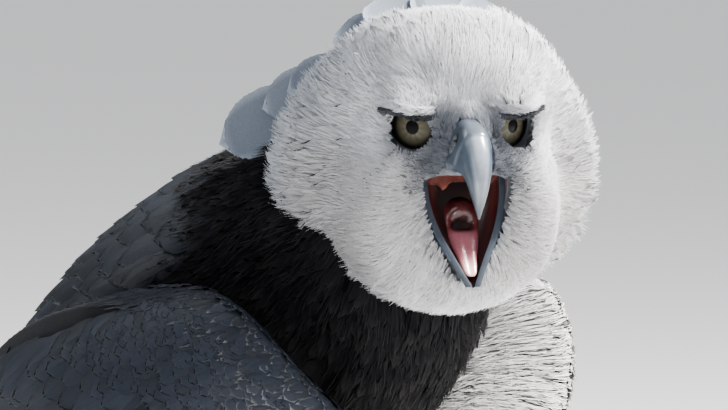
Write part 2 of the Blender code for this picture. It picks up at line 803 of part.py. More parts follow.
def wing_pad(name, label):
    """A ball flattened and wrapped round the body's axis."""
    side, forward, spec = SIDES[label], WING_FORWARD[label], WING_ARM
    bm = bmesh.new()
    bmesh.ops.create_uvsphere(bm, u_segments=WING_POINTS, v_segments=WING_RINGS, radius=1)
    for vertex in bm.verts:
        y, z, x = vertex.co
        x, y = x * (1 + WING_SQUARE * y * y), y * (1 + WING_SQUARE * x * x)
        along = spec["along"] + spec["length"] * x
        angle = spec["angle"] + spec["sweep"] * x + spec["spread"] * y
        sink = WING_PAD_SINK if z > 0 else 0.0
        radius = smooth(WING_RADIUS, along) + (spec["thickness"] - sink) * z
        vertex.co = body_point(side, along + forward, angle, radius)
    bmesh.ops.triangulate(bm, faces=bm.faces)
    return node(name, bm, "slate_feather")


def wing_surface(along, angle):
    """Radius of the wing's outer surface about the body's axis."""
    spec = WING_ARM
    far_x = (along - spec["along"]) / spec["length"]
    far_y = (angle - spec["angle"] - spec["sweep"] * far_x) / spec["spread"]
    x, y = far_x, far_y
    for _ in range(8):
        x, y = far_x / (1 + WING_SQUARE * y * y), far_y / (1 + WING_SQUARE * x * x)
    bulge = math.sqrt(max(0.0, 1 - x * x - y * y))
    return smooth(WING_RADIUS, along) + spec["thickness"] * bulge


def wing_vane(label, start, length, angle, half, heights):
    side, forward = SIDES[label], WING_FORWARD[label]
    shape = SHORT_VANE if length < 0.15 else LONG_VANE

    def place(u, w):
        along = start + length * u
        radius = wing_surface(along, angle)
        turn = angle + math.degrees(w * half / radius)
        height = vane_height(shape, heights, u) - FEATHER_TILT * w
        return body_point(side, along + forward, turn, wing_surface(along, turn) + height)

    return feather(place, shape)


def wing_feathers(label):
    vanes = []
    for start, follow, lengths, angles, count, half, heights in WING_ROWS.values():
        for k in range(count):
            share = k / (count - 1)
            angle = angles[0] + (angles[1] - angles[0]) * share
            length = lengths[0] + (lengths[1] - lengths[0]) * share
            slant = 0.0
            for back, level, span in (LEADING_SLANT, LOWER_SLANT):
                slant += follow * back * max(0.0, (angle - level) / span) ** 1.3
            vanes.append(wing_vane(label, start + slant, length, angle, half, heights))
    return vanes


def make_wing(label, torso, thigh):
    wing = wing_pad("wing_" + label, label)
    fuse(wing, wing_feathers(label))
    cut(wing, torso, thigh)
    thin_out(wing)
    return wing


# Tail

def tail_point(back, across, up):
    return TAIL_ROOT + TAIL_BACK * back + ACROSS * across + TAIL_UP * up


def tail_vane(side, rank):
    """One tail feather; rank 0 is the middle pair, which lies on top."""
    length = TAIL_LENGTH - 0.005 * rank

    def place(u, w):
        spacing = TAIL_FAN[0] + (TAIL_FAN[1] - TAIL_FAN[0]) * u
        across = side * spacing * (rank + 0.5) + w * TAIL_VANE_HALF
        level = -TAIL_LAYER * (rank + (0.5 if side < 0 else 0.0))
        return tail_point(length * u, across, level)

    return feather(place, LONG_VANE, TAIL_VANE)


def tail_covert(start, length, across, half, root, tip, layer):
    def place(u, w):
        level = root + (tip - root) * u**0.5 + layer
        return tail_point(start + length * u, across * (0.8 + 0.2 * u) + w * half, level)

    return feather(place, SHORT_VANE)


def make_tail(torso):
    length, wide, high = TAIL_CORE
    bm = bmesh.new()
    bmesh.ops.create_cube(bm, size=1)
    bmesh.ops.bevel(bm, geom=bm.edges, offset=0.2, segments=1, affect="EDGES")
    for vertex in bm.verts:
        x, y, z = vertex.co
        vertex.co = tail_point(length * (y + 0.25), wide * x, high * z - 0.005)
    bmesh.ops.triangulate(bm, faces=bm.faces)
    tail = node("tail", bm, "slate_feather")
    vanes = [tail_vane(side, rank) for rank in range(TAIL_FEATHERS) for side in (1, -1)]
    for start, reach, count, half, root, tip in TAIL_COVERTS:
        for k in range(count):
            middle = k - (count - 1) / 2
            layer = -math.copysign(0.0018, tip) * (abs(middle) + (0.5 if middle < 0 else 0.0))
            vanes.append(tail_covert(start, reach, middle * 0.020, half, root, tip, layer))
    fuse(tail, vanes)
    cut(tail, torso)
    thin_out(tail)
    return tail


# Legs

def tube(name, stations, look, points=12, floor=False):
    """A body through oval sections across a path; with floor, no point lies below it."""
    rings = []
    centres = [Vector(s[:3]) for s in stations]
    for k, centre in enumerate(centres):
        path = centres[min(k + 1, len(centres) - 1)] - centres[max(k - 1, 0)]
        across = ACROSS if abs(path.normalized().z) > 0.6 else path.cross(Vector((0, 0, 1)))
        across = (across - path * (across.dot(path) / path.length_squared)).normalized()
        other = across.cross(path).normalized()
        ring = oval(centre, across, other, stations[k][3], stations[k][4], stations[k][4], points)
        if floor:
            for p in ring:
                p.z = max(p.z, 0.0)
        rings.append(ring)
    return node(name, skin_rings(rings), look)


def mirrored(stations, side):
    return [(side * s[0], *s[1:]) for s in stations]


def make_thigh(label, torso):
    thigh = tube("thigh_" + label, mirrored(between(THIGH, 11), SIDES[label]), "barred_feather", 16)
    cut(thigh, torso)
    return thigh


def make_tarsus(label, thigh):
    ankle, foot = Vector(ANKLE), Vector(FOOT)
    stations = []
    for k in range(2 * SCUTES + 1):
        share = k / (2 * SCUTES)
        at = ankle + (foot + Vector((0, 0, 0.030)) - ankle) * share
        swell = 0.0028 * (1 - share) ** 3 + 0.0035 * share**4
        step = SCUTE_STEP if k % 2 else 0.0
        radius = TARSUS_RADIUS + swell + step
        stations.append((*at, radius, radius * 1.05))
    stations.append((foot.x, foot.y, 0.016, PAD_RADIUS * 0.95, PAD_RADIUS * 0.95))
    stations.append((foot.x, foot.y, 0.005, PAD_RADIUS * 0.98, PAD_RADIUS * 0.98))
    stations.append((foot.x, foot.y, 0.0, PAD_RADIUS * 0.85, PAD_RADIUS * 0.85))
    tarsus = tube("tarsus_" + label, mirrored(stations, SIDES[label]), "leg_skin", 11, floor=True)
    cut(tarsus, thigh)
    thin_out(tarsus, 0.88)
    return tarsus


def toe_direction(label, turn):
    angle = math.radians(turn)
    return Vector((SIDES[label] * math.sin(angle), -math.cos(angle), 0))


def make_toe(label, toe, neighbours):
    turn, length, radius, _, _ = TOES[toe]
    way = toe_direction(label, turn)
    start = Vector((SIDES[label] * FOOT[0], FOOT[1], 0)) + way * (PAD_RADIUS * 0.7)
    reach = length - PAD_RADIUS * 0.7
    stations = []
    for k in range(7):
        share = k / 6
        pad = 1.0 + 0.12 * math.cos(share * math.pi * 3)
        thick = radius * pad * (1 - 0.12 * share)
        height = thick * 0.90 if k < 6 else stations[-1][2]
        at = start + way * (reach * share)
        stations.append((at.x, at.y, height, thick, thick))
    made = tube(f"toe_{label}_{toe}", stations, "leg_skin", 8, floor=True)
    cut(made, *neighbours)
    thin_out(made, 0.88)
    return made, start + way * (reach + GAP), stations[-1][2]


def make_claw(label, toe, start, height):
    turn, _, _, length, radius = TOES[toe]
    way = toe_direction(label, turn)
    bend_radius = length / CLAW_BEND
    drop = height - 0.0012
    rise = CLAW_BEND / 2 - math.asin(drop / (2 * bend_radius * math.sin(CLAW_BEND / 2)))
    stations = []
    count = 8
    for k in range(count):
        share = k / (count - 1)
        angle = rise - CLAW_BEND * share
        out = bend_radius * (math.sin(rise) - math.sin(angle))
        up = bend_radius * (math.cos(angle) - math.cos(rise))
        thick = radius * (1 - share) ** 0.75 + 0.0006
        at = start + way * out
        stations.append((at.x, at.y, height + up, thick * 0.85, thick))
    rings = []
    across = way.cross(Vector((0, 0, 1))).normalized()
    for k, station in enumerate(stations):
        angle = 0.0 if k == 0 else rise - CLAW_BEND * (k - 0.3) / (count - 1)
        normal = Vector((0, 0, 1)) * math.cos(angle) - way * math.sin(angle)
        ring = oval(Vector(station[:3]), across, normal, station[3], station[4], station[4], 7)
        for p in ring:
            p.z = max(p.z, 0.0004)
        rings.append(ring)
    return node(f"claw_{label}_{toe}", skin_rings(rings), "claw")


def make_leg(label, torso):
    thigh = make_thigh(label, torso)
    tarsus = make_tarsus(label, thigh)
    foot = [tarsus]
    for toe in TOES:
        made, end, height = make_toe(label, toe, foot)
        make_claw(label, toe, end, height)
        foot.append(made)
    return thigh


def centre():
    """Hangs every node on one empty, moved so that the bird stands centred on the origin."""
    corners = [v.co for obj in BIRD.objects for v in obj.data.vertices]
    low = Vector([min(c[k] for c in corners) for k in range(3)])
    high = Vector([max(c[k] for c in corners) for k in range(3)])
    holder = bpy.data.objects.new("stand_point", None)
    holder.location = (-(low.x + high.x) / 2, -(low.y + high.y) / 2, 0)
    for obj in BIRD.objects:
        obj.parent = holder
    BIRD.objects.link(holder)
    bpy.context.view_layer.update()


def main():
    clear_scene()
    make_head()
    torso, neck = make_trunk()
    room = head_core("head_room", RUFF_ROOM)
    boolean(neck, room, "DIFFERENCE")
    bpy.data.objects.remove(room)
    for *tip, half in CREST:
        vane = crest_vane(tip, half)
        cut(neck, vane, gap=2 * GAP)
        bpy.data.objects.remove(vane)
    for trunk in (torso, neck):
        thin_out(trunk)
    for label in SIDES:
        thigh = make_leg(label, torso)
        make_wing(label, torso, thigh)
    make_tail(torso)
    centre()


main()
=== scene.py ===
import math

import bmesh
import bpy
import numpy as np
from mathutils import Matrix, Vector


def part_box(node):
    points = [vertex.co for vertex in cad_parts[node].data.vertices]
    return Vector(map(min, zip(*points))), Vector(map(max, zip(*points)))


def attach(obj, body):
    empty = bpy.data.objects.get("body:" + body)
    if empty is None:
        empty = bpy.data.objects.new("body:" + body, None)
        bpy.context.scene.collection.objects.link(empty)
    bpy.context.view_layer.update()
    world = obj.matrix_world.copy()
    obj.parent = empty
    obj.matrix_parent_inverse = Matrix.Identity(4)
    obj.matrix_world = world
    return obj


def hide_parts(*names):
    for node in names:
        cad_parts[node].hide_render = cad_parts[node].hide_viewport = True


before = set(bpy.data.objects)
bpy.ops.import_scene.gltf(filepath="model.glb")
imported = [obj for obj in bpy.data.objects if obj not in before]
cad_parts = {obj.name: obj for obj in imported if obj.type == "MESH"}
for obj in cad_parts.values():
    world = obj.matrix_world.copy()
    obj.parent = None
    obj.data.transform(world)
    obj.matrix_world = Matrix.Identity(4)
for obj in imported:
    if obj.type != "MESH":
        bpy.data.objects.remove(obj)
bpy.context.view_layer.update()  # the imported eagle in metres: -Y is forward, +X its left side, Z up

DRAW = np.random.default_rng(11)  # gives all the random draws of the coat, in one order
SIDES = {"left": 1, "right": -1}  # the bird's own left is +X
COAT_FACES = 190000  # most triangles in one coat piece


def row(*values):
    return np.array(values, float)


def unit(v):
    return v / (np.linalg.norm(v, axis=-1, keepdims=True) + 1e-12)


def turned(degrees):
    """An angle in radians."""
    return math.radians(degrees)


def circle(count):
    """Angles evenly spaced round a ring."""
    return 2 * np.pi * np.arange(count) / count


def ramp(value, low, high):
    """0 below low, 1 above high and smooth between, also where low is the larger."""
    t = np.clip((value - low) / (high - low), 0, 1)
    return t * t * (3 - 2 * t)


def mix(a, b, share):
    share = np.asarray(share)[..., None]
    return np.asarray(a) * (1 - share) + np.asarray(b) * share


def layered(colour, *layers):
    """A colour with others laid over it in turn, each given with its share."""
    for over, share in layers:
        colour = mix(colour, over, share)
    return colour


def between(table, count):
    """Rows read from a smooth curve through a short table of stations."""
    rows = np.array(table, float)
    rows = np.vstack([2 * rows[0] - rows[1], rows, 2 * rows[-1] - rows[-2]])
    at = np.linspace(0, len(table) - 1, count)
    k = np.minimum(at.astype(int), len(table) - 2)
    t = (at - k)[:, None]
    a, b, c, d = (rows[k + step] for step in range(4))
    return 0.5 * (2 * b + (c - a) * t + (2 * a - 5 * b + 4 * c - d) * t**2 + (3 * b - a - 3 * c + d) * t**3)


def read(table, at):
    """Values of a two column table, between its rows by straight lines."""
    xs, ys = zip(*table)
    return np.interp(at, xs, ys)


# Frames of the head and the body, the same as in the solids

HEAD_YAW = turned(39)
HEAD_PITCH = turned(13)
HEAD_FORWARD = row(
    -math.sin(HEAD_YAW) * math.cos(HEAD_PITCH),
    -math.cos(HEAD_YAW) * math.cos(HEAD_PITCH),
    -math.sin(HEAD_PITCH),
)
HEAD_LEFT = row(math.cos(HEAD_YAW), -math.sin(HEAD_YAW), 0)
HEAD_UP = np.cross(HEAD_FORWARD, HEAD_LEFT)
HEAD_AXES = np.array([HEAD_FORWARD, HEAD_LEFT, HEAD_UP])
EYE_PLACE = (-0.011, 0.0215, 0.0)  # the left eye's centre: forward, left and up
EYE_TURN = turned(36)  # how far each eye looks aside


def middle(node):
    low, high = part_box(node)
    return (np.array(low) + np.array(high)) / 2


EYE_MIDPOINT = (middle("eye_left") + middle("eye_right")) / 2 - HEAD_FORWARD * EYE_PLACE[0]
EYES_DRAWN = row(-0.060, -0.260, 0.585)  # the middle of the eyes where the measures below were taken
SHIFT = EYE_MIDPOINT - EYES_DRAWN
BODY_START = row(0, -0.155, 0.505) + SHIFT
BODY_TILT = turned(30)
BODY_BACK = row(0, math.cos(BODY_TILT), -math.sin(BODY_TILT))
BODY_UP = row(0, math.sin(BODY_TILT), math.cos(BODY_TILT))
ACROSS = row(1, 0, 0)
UP = row(0, 0, 1)


def head_xyz(p):
    """World places of points given forward, left and up of the middle of the eyes."""
    return EYE_MIDPOINT + np.asarray(p) @ HEAD_AXES


def head_local(p):
    return (p - EYE_MIDPOINT) @ HEAD_AXES.T


# Surfaces that the coat is laid on: each takes two arrays and gives points, facing out

HEART = row(-0.050, 0.0, -0.028)  # the head's radii start here
HEAD_BLEND, WIDE_BLEND = 0.018, 0.032  # how gently the forms run into each other
HEAD_FORMS = (
    # centre and radii of each rounded form
    ((-0.080, 0.0, -0.054), (0.069, 0.101, 0.078)),  # the facial disc comes first
    ((-0.014, 0.0, -0.078), (0.044, 0.058, 0.045)),
    ((-0.045, 0.0, 0.012), (0.052, 0.068, 0.049)),
    ((0.004, 0.0, -0.012), (0.029, 0.021, 0.026)),
    ((0.012, 0.0, -0.084), (0.030, 0.024, 0.022)),
    ((-0.004, 0.034, 0.0155), (0.023, 0.013, 0.0055)),
    ((-0.004, -0.034, 0.0155), (0.023, 0.013, 0.0055)),
    ((-0.004, 0.036, -0.046), (0.030, 0.022, 0.036)),
    ((-0.004, -0.036, -0.046), (0.030, 0.022, 0.036)),
)
WIDE_FORMS = (1, 7, 8)  # the beard and the cheeks run into the disc more gently
DISC_BACK = 0.70  # the disc is flatter behind its centre
DISC_TALL = 1.28  # and taller above it
AWAY_STEPS, ABOUT_STEPS = 121, 145  # size of the table of radii
RADIUS_LOW, RADIUS_HIGH, HALVINGS = 0.01, 0.16, 24


def head_field(p):
    """Signed distance, about, from points in the head's frame to its feathered surface."""
    field = None
    for k, (centre, radii) in enumerate(HEAD_FORMS):
        offset = p - np.array(centre)
        size = np.tile(np.array(radii), (len(p), 1))
        if k == 0:
            size[:, 0] = np.where(offset[:, 0] < 0, size[:, 0] * DISC_BACK, size[:, 0])
            size[:, 2] = np.where(offset[:, 2] > 0, size[:, 2] * DISC_TALL, size[:, 2])
        near = np.linalg.norm(offset / size, axis=1)
        distance = near * (near - 1) / (np.linalg.norm(offset / size**2, axis=1) + 1e-9)
        if field is None:
            field = distance
            continue
        blend = WIDE_BLEND if k in WIDE_FORMS else HEAD_BLEND
        share = np.clip(0.5 + 0.5 * (distance - field) / blend, 0, 1)
        field = distance * (1 - share) + field * share - blend * share * (1 - share)
    return field


def way_of(away, about):
    """Directions by the turn away from the bill and the turn about it, 0 being up."""
    return np.stack([np.cos(away), np.sin(away) * np.sin(about), np.sin(away) * np.cos(about)], -1)


def head_radii():
    """The distance from the heart to the head's surface, for a grid of directions."""
    away, about = np.meshgrid(
        np.linspace(0, np.pi, AWAY_STEPS), np.linspace(-np.pi, np.pi, ABOUT_STEPS), indexing="ij"
    )
    ways = way_of(away, about).reshape(-1, 3)
    low, high = np.full(len(ways), RADIUS_LOW), np.full(len(ways), RADIUS_HIGH)
    for _ in range(HALVINGS):
        half = (low + high) / 2
        inside = head_field(HEART + ways * half[:, None]) < 0
        low = np.where(inside, half, low)
        high = np.where(inside, high, half)
    return low.reshape(AWAY_STEPS, ABOUT_STEPS)


HEAD_RADII = head_radii()


def head_surface(away, about):
    way = way_of(away, about)
    far = np.arccos(np.clip(way[..., 0], -1, 1)) / np.pi * (AWAY_STEPS - 1)
    turn = (np.arctan2(way[..., 1], way[..., 2]) / (2 * np.pi) + 0.5) * (ABOUT_STEPS - 1)
    i = np.minimum(far.astype(int), AWAY_STEPS - 2)
    j = np.minimum(turn.astype(int), ABOUT_STEPS - 2)
    s, t = far - i, turn - j
    grid = HEAD_RADII
    near = grid[i, j] * (1 - t) + grid[i, j + 1] * t
    next_ring = grid[i + 1, j] * (1 - t) + grid[i + 1, j + 1] * t
    return head_xyz(HEART + way * (near * (1 - s) + next_ring * s)[..., None])


BODY_STATIONS = (
    # along, rise, turn in degrees, half width, half height above and below
    (0.420, 0.000, 0, 0.022, 0.018, 0.020),
    (0.395, 0.000, 0, 0.038, 0.032, 0.034),
    (0.340, 0.000, 0, 0.064, 0.060, 0.062),
    (0.270, 0.000, 0, 0.092, 0.088, 0.092),
    (0.200, 0.000, 0, 0.110, 0.103, 0.112),
    (0.130, 0.000, 0, 0.116, 0.108, 0.120),
    (0.075, 0.003, 4, 0.111, 0.104, 0.112),
    (0.028, 0.010, 12, 0.098, 0.092, 0.098),
    (-0.012, 0.021, 18, 0.084, 0.073, 0.082),
    (-0.047, 0.031, 20, 0.074, 0.065, 0.069),
    (-0.075, 0.038, 20, 0.050, 0.045, 0.045),
)
TRUNK = between(BODY_STATIONS, 80)[::-1]
NECK_LEAN = -0.010  # the neck leans to the right
NECK_FROM, NECK_SPAN = 0.03, 0.1  # where it starts to, and over what length


def trunk_at(along):
    """The trunk's rise, turn, half width and half heights, by the distance along its axis."""
    return (np.interp(along, TRUNK[:, 0], TRUNK[:, k]) for k in range(1, 6))


def neck_lean(along):
    return NECK_LEAN * np.clip((NECK_FROM - along) / NECK_SPAN, 0, 1)


def trunk_surface(along, angle):
    """The trunk by the distance along its axis and the angle about it, 0 at the left and up at a quarter."""
    rise, turn, width, above, below = trunk_at(along)
    tip = np.radians(turn)[..., None]
    up = BODY_UP * np.cos(tip) + BODY_BACK * np.sin(tip)
    height = np.where(np.sin(angle) > 0, above, below) * np.sin(angle)
    centre = BODY_START + along[..., None] * BODY_BACK + rise[..., None] * BODY_UP
    return centre + (neck_lean(along) + width * np.cos(angle))[..., None] * ACROSS + height[..., None] * up


WING_FORWARD = {"left": 0.010, "right": -0.008}
WING_ALONG, WING_LENGTH = 0.150, 0.150  # middle and half length of the arm's pad
WING_ANGLE, WING_SWEEP, WING_SPREAD = -17, 22, 34  # its middle, slant and half breadth, in degrees
WING_THICK = 0.022
WING_SQUARE = 0.42  # how square its outline is
WING_RADIUS = (
    # distance from the body's axis, by the distance along it
    (0.00, 0.168), (0.06, 0.150), (0.12, 0.139), (0.20, 0.128),
    (0.30, 0.108), (0.42, 0.092), (0.54, 0.083), (0.66, 0.078),
)
LEADING_SLANT = (0.107, -17, 31)  # how far the edge runs back, from which angle and over what span
LOWER_SLANT = (0.024, -35, -22)


def wing_place(label, along, angle, radius):
    out = (SIDES[label] * np.cos(angle))[..., None] * ACROSS + np.sin(angle)[..., None] * BODY_UP
    return BODY_START + (along + WING_FORWARD[label])[..., None] * BODY_BACK + out * radius[..., None]


def wing_bulge(along, angle):
    """How far the arm's pad swells here, from 0 past its edge to 1 at its middle."""
    far_x = (along - WING_ALONG) / WING_LENGTH
    far_y = (np.degrees(angle) - WING_ANGLE - WING_SWEEP * far_x) / WING_SPREAD
    x, y = far_x, far_y
    for _ in range(8):
        x, y = far_x / (1 + WING_SQUARE * y * y), far_y / (1 + WING_SQUARE * x * x)
    return np.sqrt(np.clip(1 - x * x - y * y, 0, 1))


def wing_surface(label):
    """The folded wing's outside, by the distance along the body's axis and the angle about it."""
    def surface(along, angle):
        radius = read(WING_RADIUS, along) + WING_THICK * wing_bulge(along, angle)
        return wing_place(label, along, angle, radius)

    return surface


def pad_surface(label, thick=WING_THICK):
    """The arm's pad, by the turn over its leading edge and the share of its span."""
    def surface(over, span):
        rounding = np.sqrt(np.clip(1 - span * span, 0.0004, 1))
        x, y, z = -np.cos(over) * rounding, span, np.sin(over) * rounding
        x, y = x * (1 + WING_SQUARE * y * y), y * (1 + WING_SQUARE * x * x)
        along = WING_ALONG + WING_LENGTH * x
        angle = np.radians(WING_ANGLE + WING_SWEEP * x + WING_SPREAD * y)
        return wing_place(label, along, angle, read(WING_RADIUS, along) + thick * z)

    return surface


TAIL_ROOT = BODY_START + BODY_BACK * 0.400
TAIL_TILT = turned(27)
TAIL_BACK = row(0, math.cos(TAIL_TILT), -math.sin(TAIL_TILT))
TAIL_UP = row(0, math.sin(TAIL_TILT), math.cos(TAIL_TILT))


def tail_surface(back, across):
    return TAIL_ROOT + back[..., None] * TAIL_BACK + across[..., None] * ACROSS


THIGH = (
    # centre x, y and z, half width and half depth
    (0.050, 0.010, 0.375, 0.036, 0.050),
    (0.057, 0.014, 0.335, 0.044, 0.060),
    (0.066, 0.026, 0.285, 0.048, 0.057),
    (0.073, 0.046, 0.230, 0.039, 0.044),
    (0.075, 0.064, 0.182, 0.027, 0.030),
    (0.075, 0.070, 0.158, 0.020, 0.022),
)
THIGH_ROWS = between(THIGH, 60)
THIGH_LEAN = 0.35


def thigh_surface(label):
    """The thigh by the share of its length from the top, and the angle about it."""
    side = SIDES[label]

    def surface(down, angle):
        stations = np.linspace(0, 1, len(THIGH_ROWS))
        x, y, z, wide, deep = (np.interp(down, stations, THIGH_ROWS[:, k]) for k in range(5))
        out, fore = wide * np.cos(angle), deep * np.sin(angle)
        centre = np.stack([side * x, y, z], -1) + SHIFT
        return centre + np.stack([side * out, fore, fore * THIGH_LEAN], -1)

    return surface


TANGENT_STEP = 1e-3


def tangents(surface, a, b):
    along = (surface(a + TANGENT_STEP, b) - surface(a - TANGENT_STEP, b)) / (2 * TANGENT_STEP)
    aside = (surface(a, b + TANGENT_STEP) - surface(a, b - TANGENT_STEP)) / (2 * TANGENT_STEP)
    return along, aside


def lifted(surface, facing, a, b, lift):
    """Points of a surface, raised along its normal."""
    along, aside = tangents(surface, a, b)
    return surface(a, b) + unit(np.cross(along, aside)) * facing * lift[..., None]


LEAST_SCALE = 0.008  # metres a unit of a surface's direction, where it narrows to a point


def spread(surface, facing, a, b, heading, x, y, lift):
    """World points x along and y across the lie from the roots a, b, for feathers, rows and columns."""
    along, aside = tangents(surface, a, b)
    scale_a = np.maximum(np.linalg.norm(along, axis=-1), LEAST_SCALE)
    scale_b = np.maximum(np.linalg.norm(aside, axis=-1), LEAST_SCALE)
    at_a = a + (x * np.cos(heading) - y * np.sin(heading)) / scale_a
    at_b = b + (x * np.sin(heading) + y * np.cos(heading)) / scale_b
    return lifted(surface, facing, at_a, at_b, lift)


# Meshes

def placed(name, data):
    """A new object in the scene."""
    obj = bpy.data.objects.new(name, data)
    bpy.context.scene.collection.objects.link(obj)
    return obj


def mesh_object(name, points, faces, material):
    """An object from an array of points and an array, or a list, of faces."""
    mesh = bpy.data.meshes.new(name)
    if isinstance(faces, np.ndarray):
        sides = faces.shape[1]
        mesh.vertices.add(len(points))
        mesh.vertices.foreach_set("co", np.ascontiguousarray(points, np.float32).ravel())
        mesh.loops.add(faces.size)
        mesh.loops.foreach_set("vertex_index", faces.ravel().astype(np.int32))
        mesh.polygons.add(len(faces))
        mesh.polygons.foreach_set("loop_start", np.arange(0, faces.size, sides, dtype=np.int32))
        mesh.update(calc_edges=True)
    else:
        mesh.from_pydata([tuple(p) for p in points], [], faces)
    mesh.materials.append(material)
    mesh.shade_smooth()
    return placed(name, mesh)


def paint(obj, colours, name="Col"):
    """A colour for each point of a mesh."""
    layer = obj.data.color_attributes.new(name, "FLOAT_COLOR", "POINT")
    full = np.ones((len(obj.data.vertices), 4), np.float32)
    full[:, :3] = colours
    layer.data.foreach_set("color", full.ravel())


def places(obj):
    """Where a mesh's points are."""
    co = np.zeros(len(obj.data.vertices) * 3, np.float32)
    obj.data.vertices.foreach_get("co", co)
    return co.reshape(-1, 3).astype(float)


def ring_faces(rings, count):
    """Quads between rings of points, each ring closed."""
    i = np.arange(rings - 1)[:, None] * count
    j = np.arange(count)[None, :]
    after = (j + 1) % count
    quads = np.stack([i + j, i + after, i + count + after, i + count + j], -1)
    return quads.reshape(-1, 4).tolist()


def face_out(obj):
    """Turns a mesh's faces outwards."""
    bm = bmesh.new()
    bm.from_mesh(obj.data)
    bmesh.ops.recalc_face_normals(bm, faces=bm.faces)
    bm.to_mesh(obj.data)
    bm.free()


def loft(name, rings, material, caps=True):
    """A body through rings of points, given as rings, points, 3."""
    rings = np.asarray(rings)
    rows, count = rings.shape[:2]
    points = rings.reshape(-1, 3)
    faces = ring_faces(rows, count)
    if caps:
        points = np.vstack([points, rings[0].mean(0), rings[-1].mean(0)])
        for base, hub, flip in ((0, rows * count, False), ((rows - 1) * count, rows * count + 1, True)):
            for k in range(count):
                pair = (base + k, base + (k + 1) % count)
                faces.append((hub, *(pair if flip else pair[::-1])))
    obj = mesh_object(name, points, faces, material)
    face_out(obj)
    return obj


def loft_values(values, shape, first, last):
    """Values for a loft's points: those of its rings, then the middles of its two ends."""
    return np.concatenate([np.broadcast_to(values, shape).ravel(), [first, last]])


def paint_loft(obj, colours):
    """Colours for the rings' points of a loft, whose ends take the first and the last."""
    colours = colours.reshape(-1, 3)
    paint(obj, np.vstack([colours, colours[0], colours[-1]]))


def applied(obj, kind, **values):
    """Adds one modifier and applies it."""
    modifier = obj.modifiers.new(kind.lower(), kind)
    for key, value in values.items():
        setattr(modifier, key, value)
    bpy.context.view_layer.update()
    graph = bpy.context.evaluated_depsgraph_get()
    mesh = bpy.data.meshes.new_from_object(obj.evaluated_get(graph))
    obj.modifiers.clear()
    obj.data = mesh


def joined(name, objects, material):
    """One object from several meshes, which are removed."""
    bm = bmesh.new()
    for obj in objects:
        bm.from_mesh(obj.data)
    mesh = bpy.data.meshes.new(name)
    bm.to_mesh(mesh)
    bm.free()
    for obj in objects:
        bpy.data.objects.remove(obj)
    mesh.materials.append(material)
    mesh.shade_smooth()
    return placed(name, mesh)


def finished(obj, slot, *nodes):
    """Says what a piece rides on, and hides the solids that it stands for. slot is not used."""
    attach(obj, "root")
    if nodes:
        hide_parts(*nodes)
    return obj


# Materials

class Nodes:
    """A material's node tree, with short calls to add and link nodes."""

    def __init__(self, name, roughness, **values):
        self.material = bpy.data.materials.new(name)
        self.material.use_nodes = True
        self.tree = self.material.node_tree
        self.shader = self.tree.nodes["Principled BSDF"]
        self.shader.inputs["Roughness"].default_value = roughness
        for key, value in values.items():
            self.shader.inputs[key.replace("_", " ")].default_value = value

    def add(self, kind, inputs=None, **values):
        node = self.tree.nodes.new("ShaderNode" + kind)
        for key, value in values.items():
            setattr(node, key, value)
        for key, value in (inputs or {}).items():
            self.put(node.inputs[key], value)
        return node

    def put(self, socket, value):
        if isinstance(value, bpy.types.NodeSocket):
            self.tree.links.new(value, socket)
        else:
            socket.default_value = value

    def math(self, operation, a, b=0.0, c=0.0):
        return self.add("Math", {0: a, 1: b, 2: c}, operation=operation).outputs[0]

    def colour(self, name="Col"):
        return self.add("Attribute", attribute_name=name).outputs["Color"]

    def noise(self, scale, detail):
        """Noise by the place in space."""
        place = self.add("NewGeometry").outputs["Position"]
        return self.add("TexNoise", {"Scale": scale, "Detail": detail, "Vector": place}).outputs["Fac"]

    def blend(self, kind, factor, a, b):
        mixed = self.add("Mix", data_type="RGBA", blend_type=kind)
        for key, value in (("Factor", factor), (6, a), (7, b)):
            self.put(mixed.inputs[key], value)
        return mixed.outputs[2]

    def shaded(self, colour, factor, low, high):
        """A colour made darker or lighter by a factor from 0 to 1."""
        amount = self.add("MapRange", {"Value": factor, "To Min": low, "To Max": high}).outputs[0]
        grey = self.add("CombineColor", {0: amount, 1: amount, 2: amount}).outputs[0]
        return self.blend("MULTIPLY", 1.0, colour, grey)

    def base(self, colour):
        self.put(self.shader.inputs["Base Color"], colour)

    def bump(self, height, distance, strength=1.0):
        node = self.add("Bump", {"Height": height, "Distance": distance, "Strength": strength})
        self.put(self.shader.inputs["Normal"], node.outputs[0])


DOWN_GRAIN = 900.0  # fineness of the soft feathers' mottling
BARBS = 300.0  # fineness of the ripple that the barbs of a vane make
BARB_SLANT = 0.9
BARB_DEPTH = 0.00018
SHAFT_HALF = 0.016  # half width of a shaft, as a share of the vane
SHAFT_DARK = (0.012, 0.012, 0.014, 1)


def down_material():
    """Fine loose feathers of the head and neck."""
    made = Nodes("soft_feather", 0.85, Specular_IOR_Level=0.15)
    made.base(made.shaded(made.colour(), made.noise(DOWN_GRAIN, 2.0), 0.82, 1.16))
    return made.material


def vane_material():
    """Smooth feathers: barbs run from the shaft to the edge, at a slant."""
    made = Nodes("vane_feather", 0.42, Specular_IOR_Level=0.20)
    vane = made.add("SeparateXYZ", {0: made.colour("Vane")})
    across = made.math("ABSOLUTE", made.math("SUBTRACT", vane.outputs[1], 0.5))
    slant = made.math("SUBTRACT", vane.outputs[0], made.math("MULTIPLY", across, BARB_SLANT))
    ripple = made.math("SINE", made.math("MULTIPLY", slant, BARBS))
    shaft = made.math("LESS_THAN", across, SHAFT_HALF)
    streaks = made.math("MULTIPLY_ADD", ripple, 0.16, made.noise(420.0, 3.0))
    lit = made.shaded(made.colour(), streaks, 0.82, 1.18)
    made.base(made.blend("MIX", made.math("MULTIPLY", shaft, 0.20), lit, SHAFT_DARK))
    height = made.math("ADD", made.math("MULTIPLY", ripple, 0.5), made.math("MULTIPLY", shaft, 2.0))
    made.bump(height, BARB_DEPTH, 0.5)
    return made.material


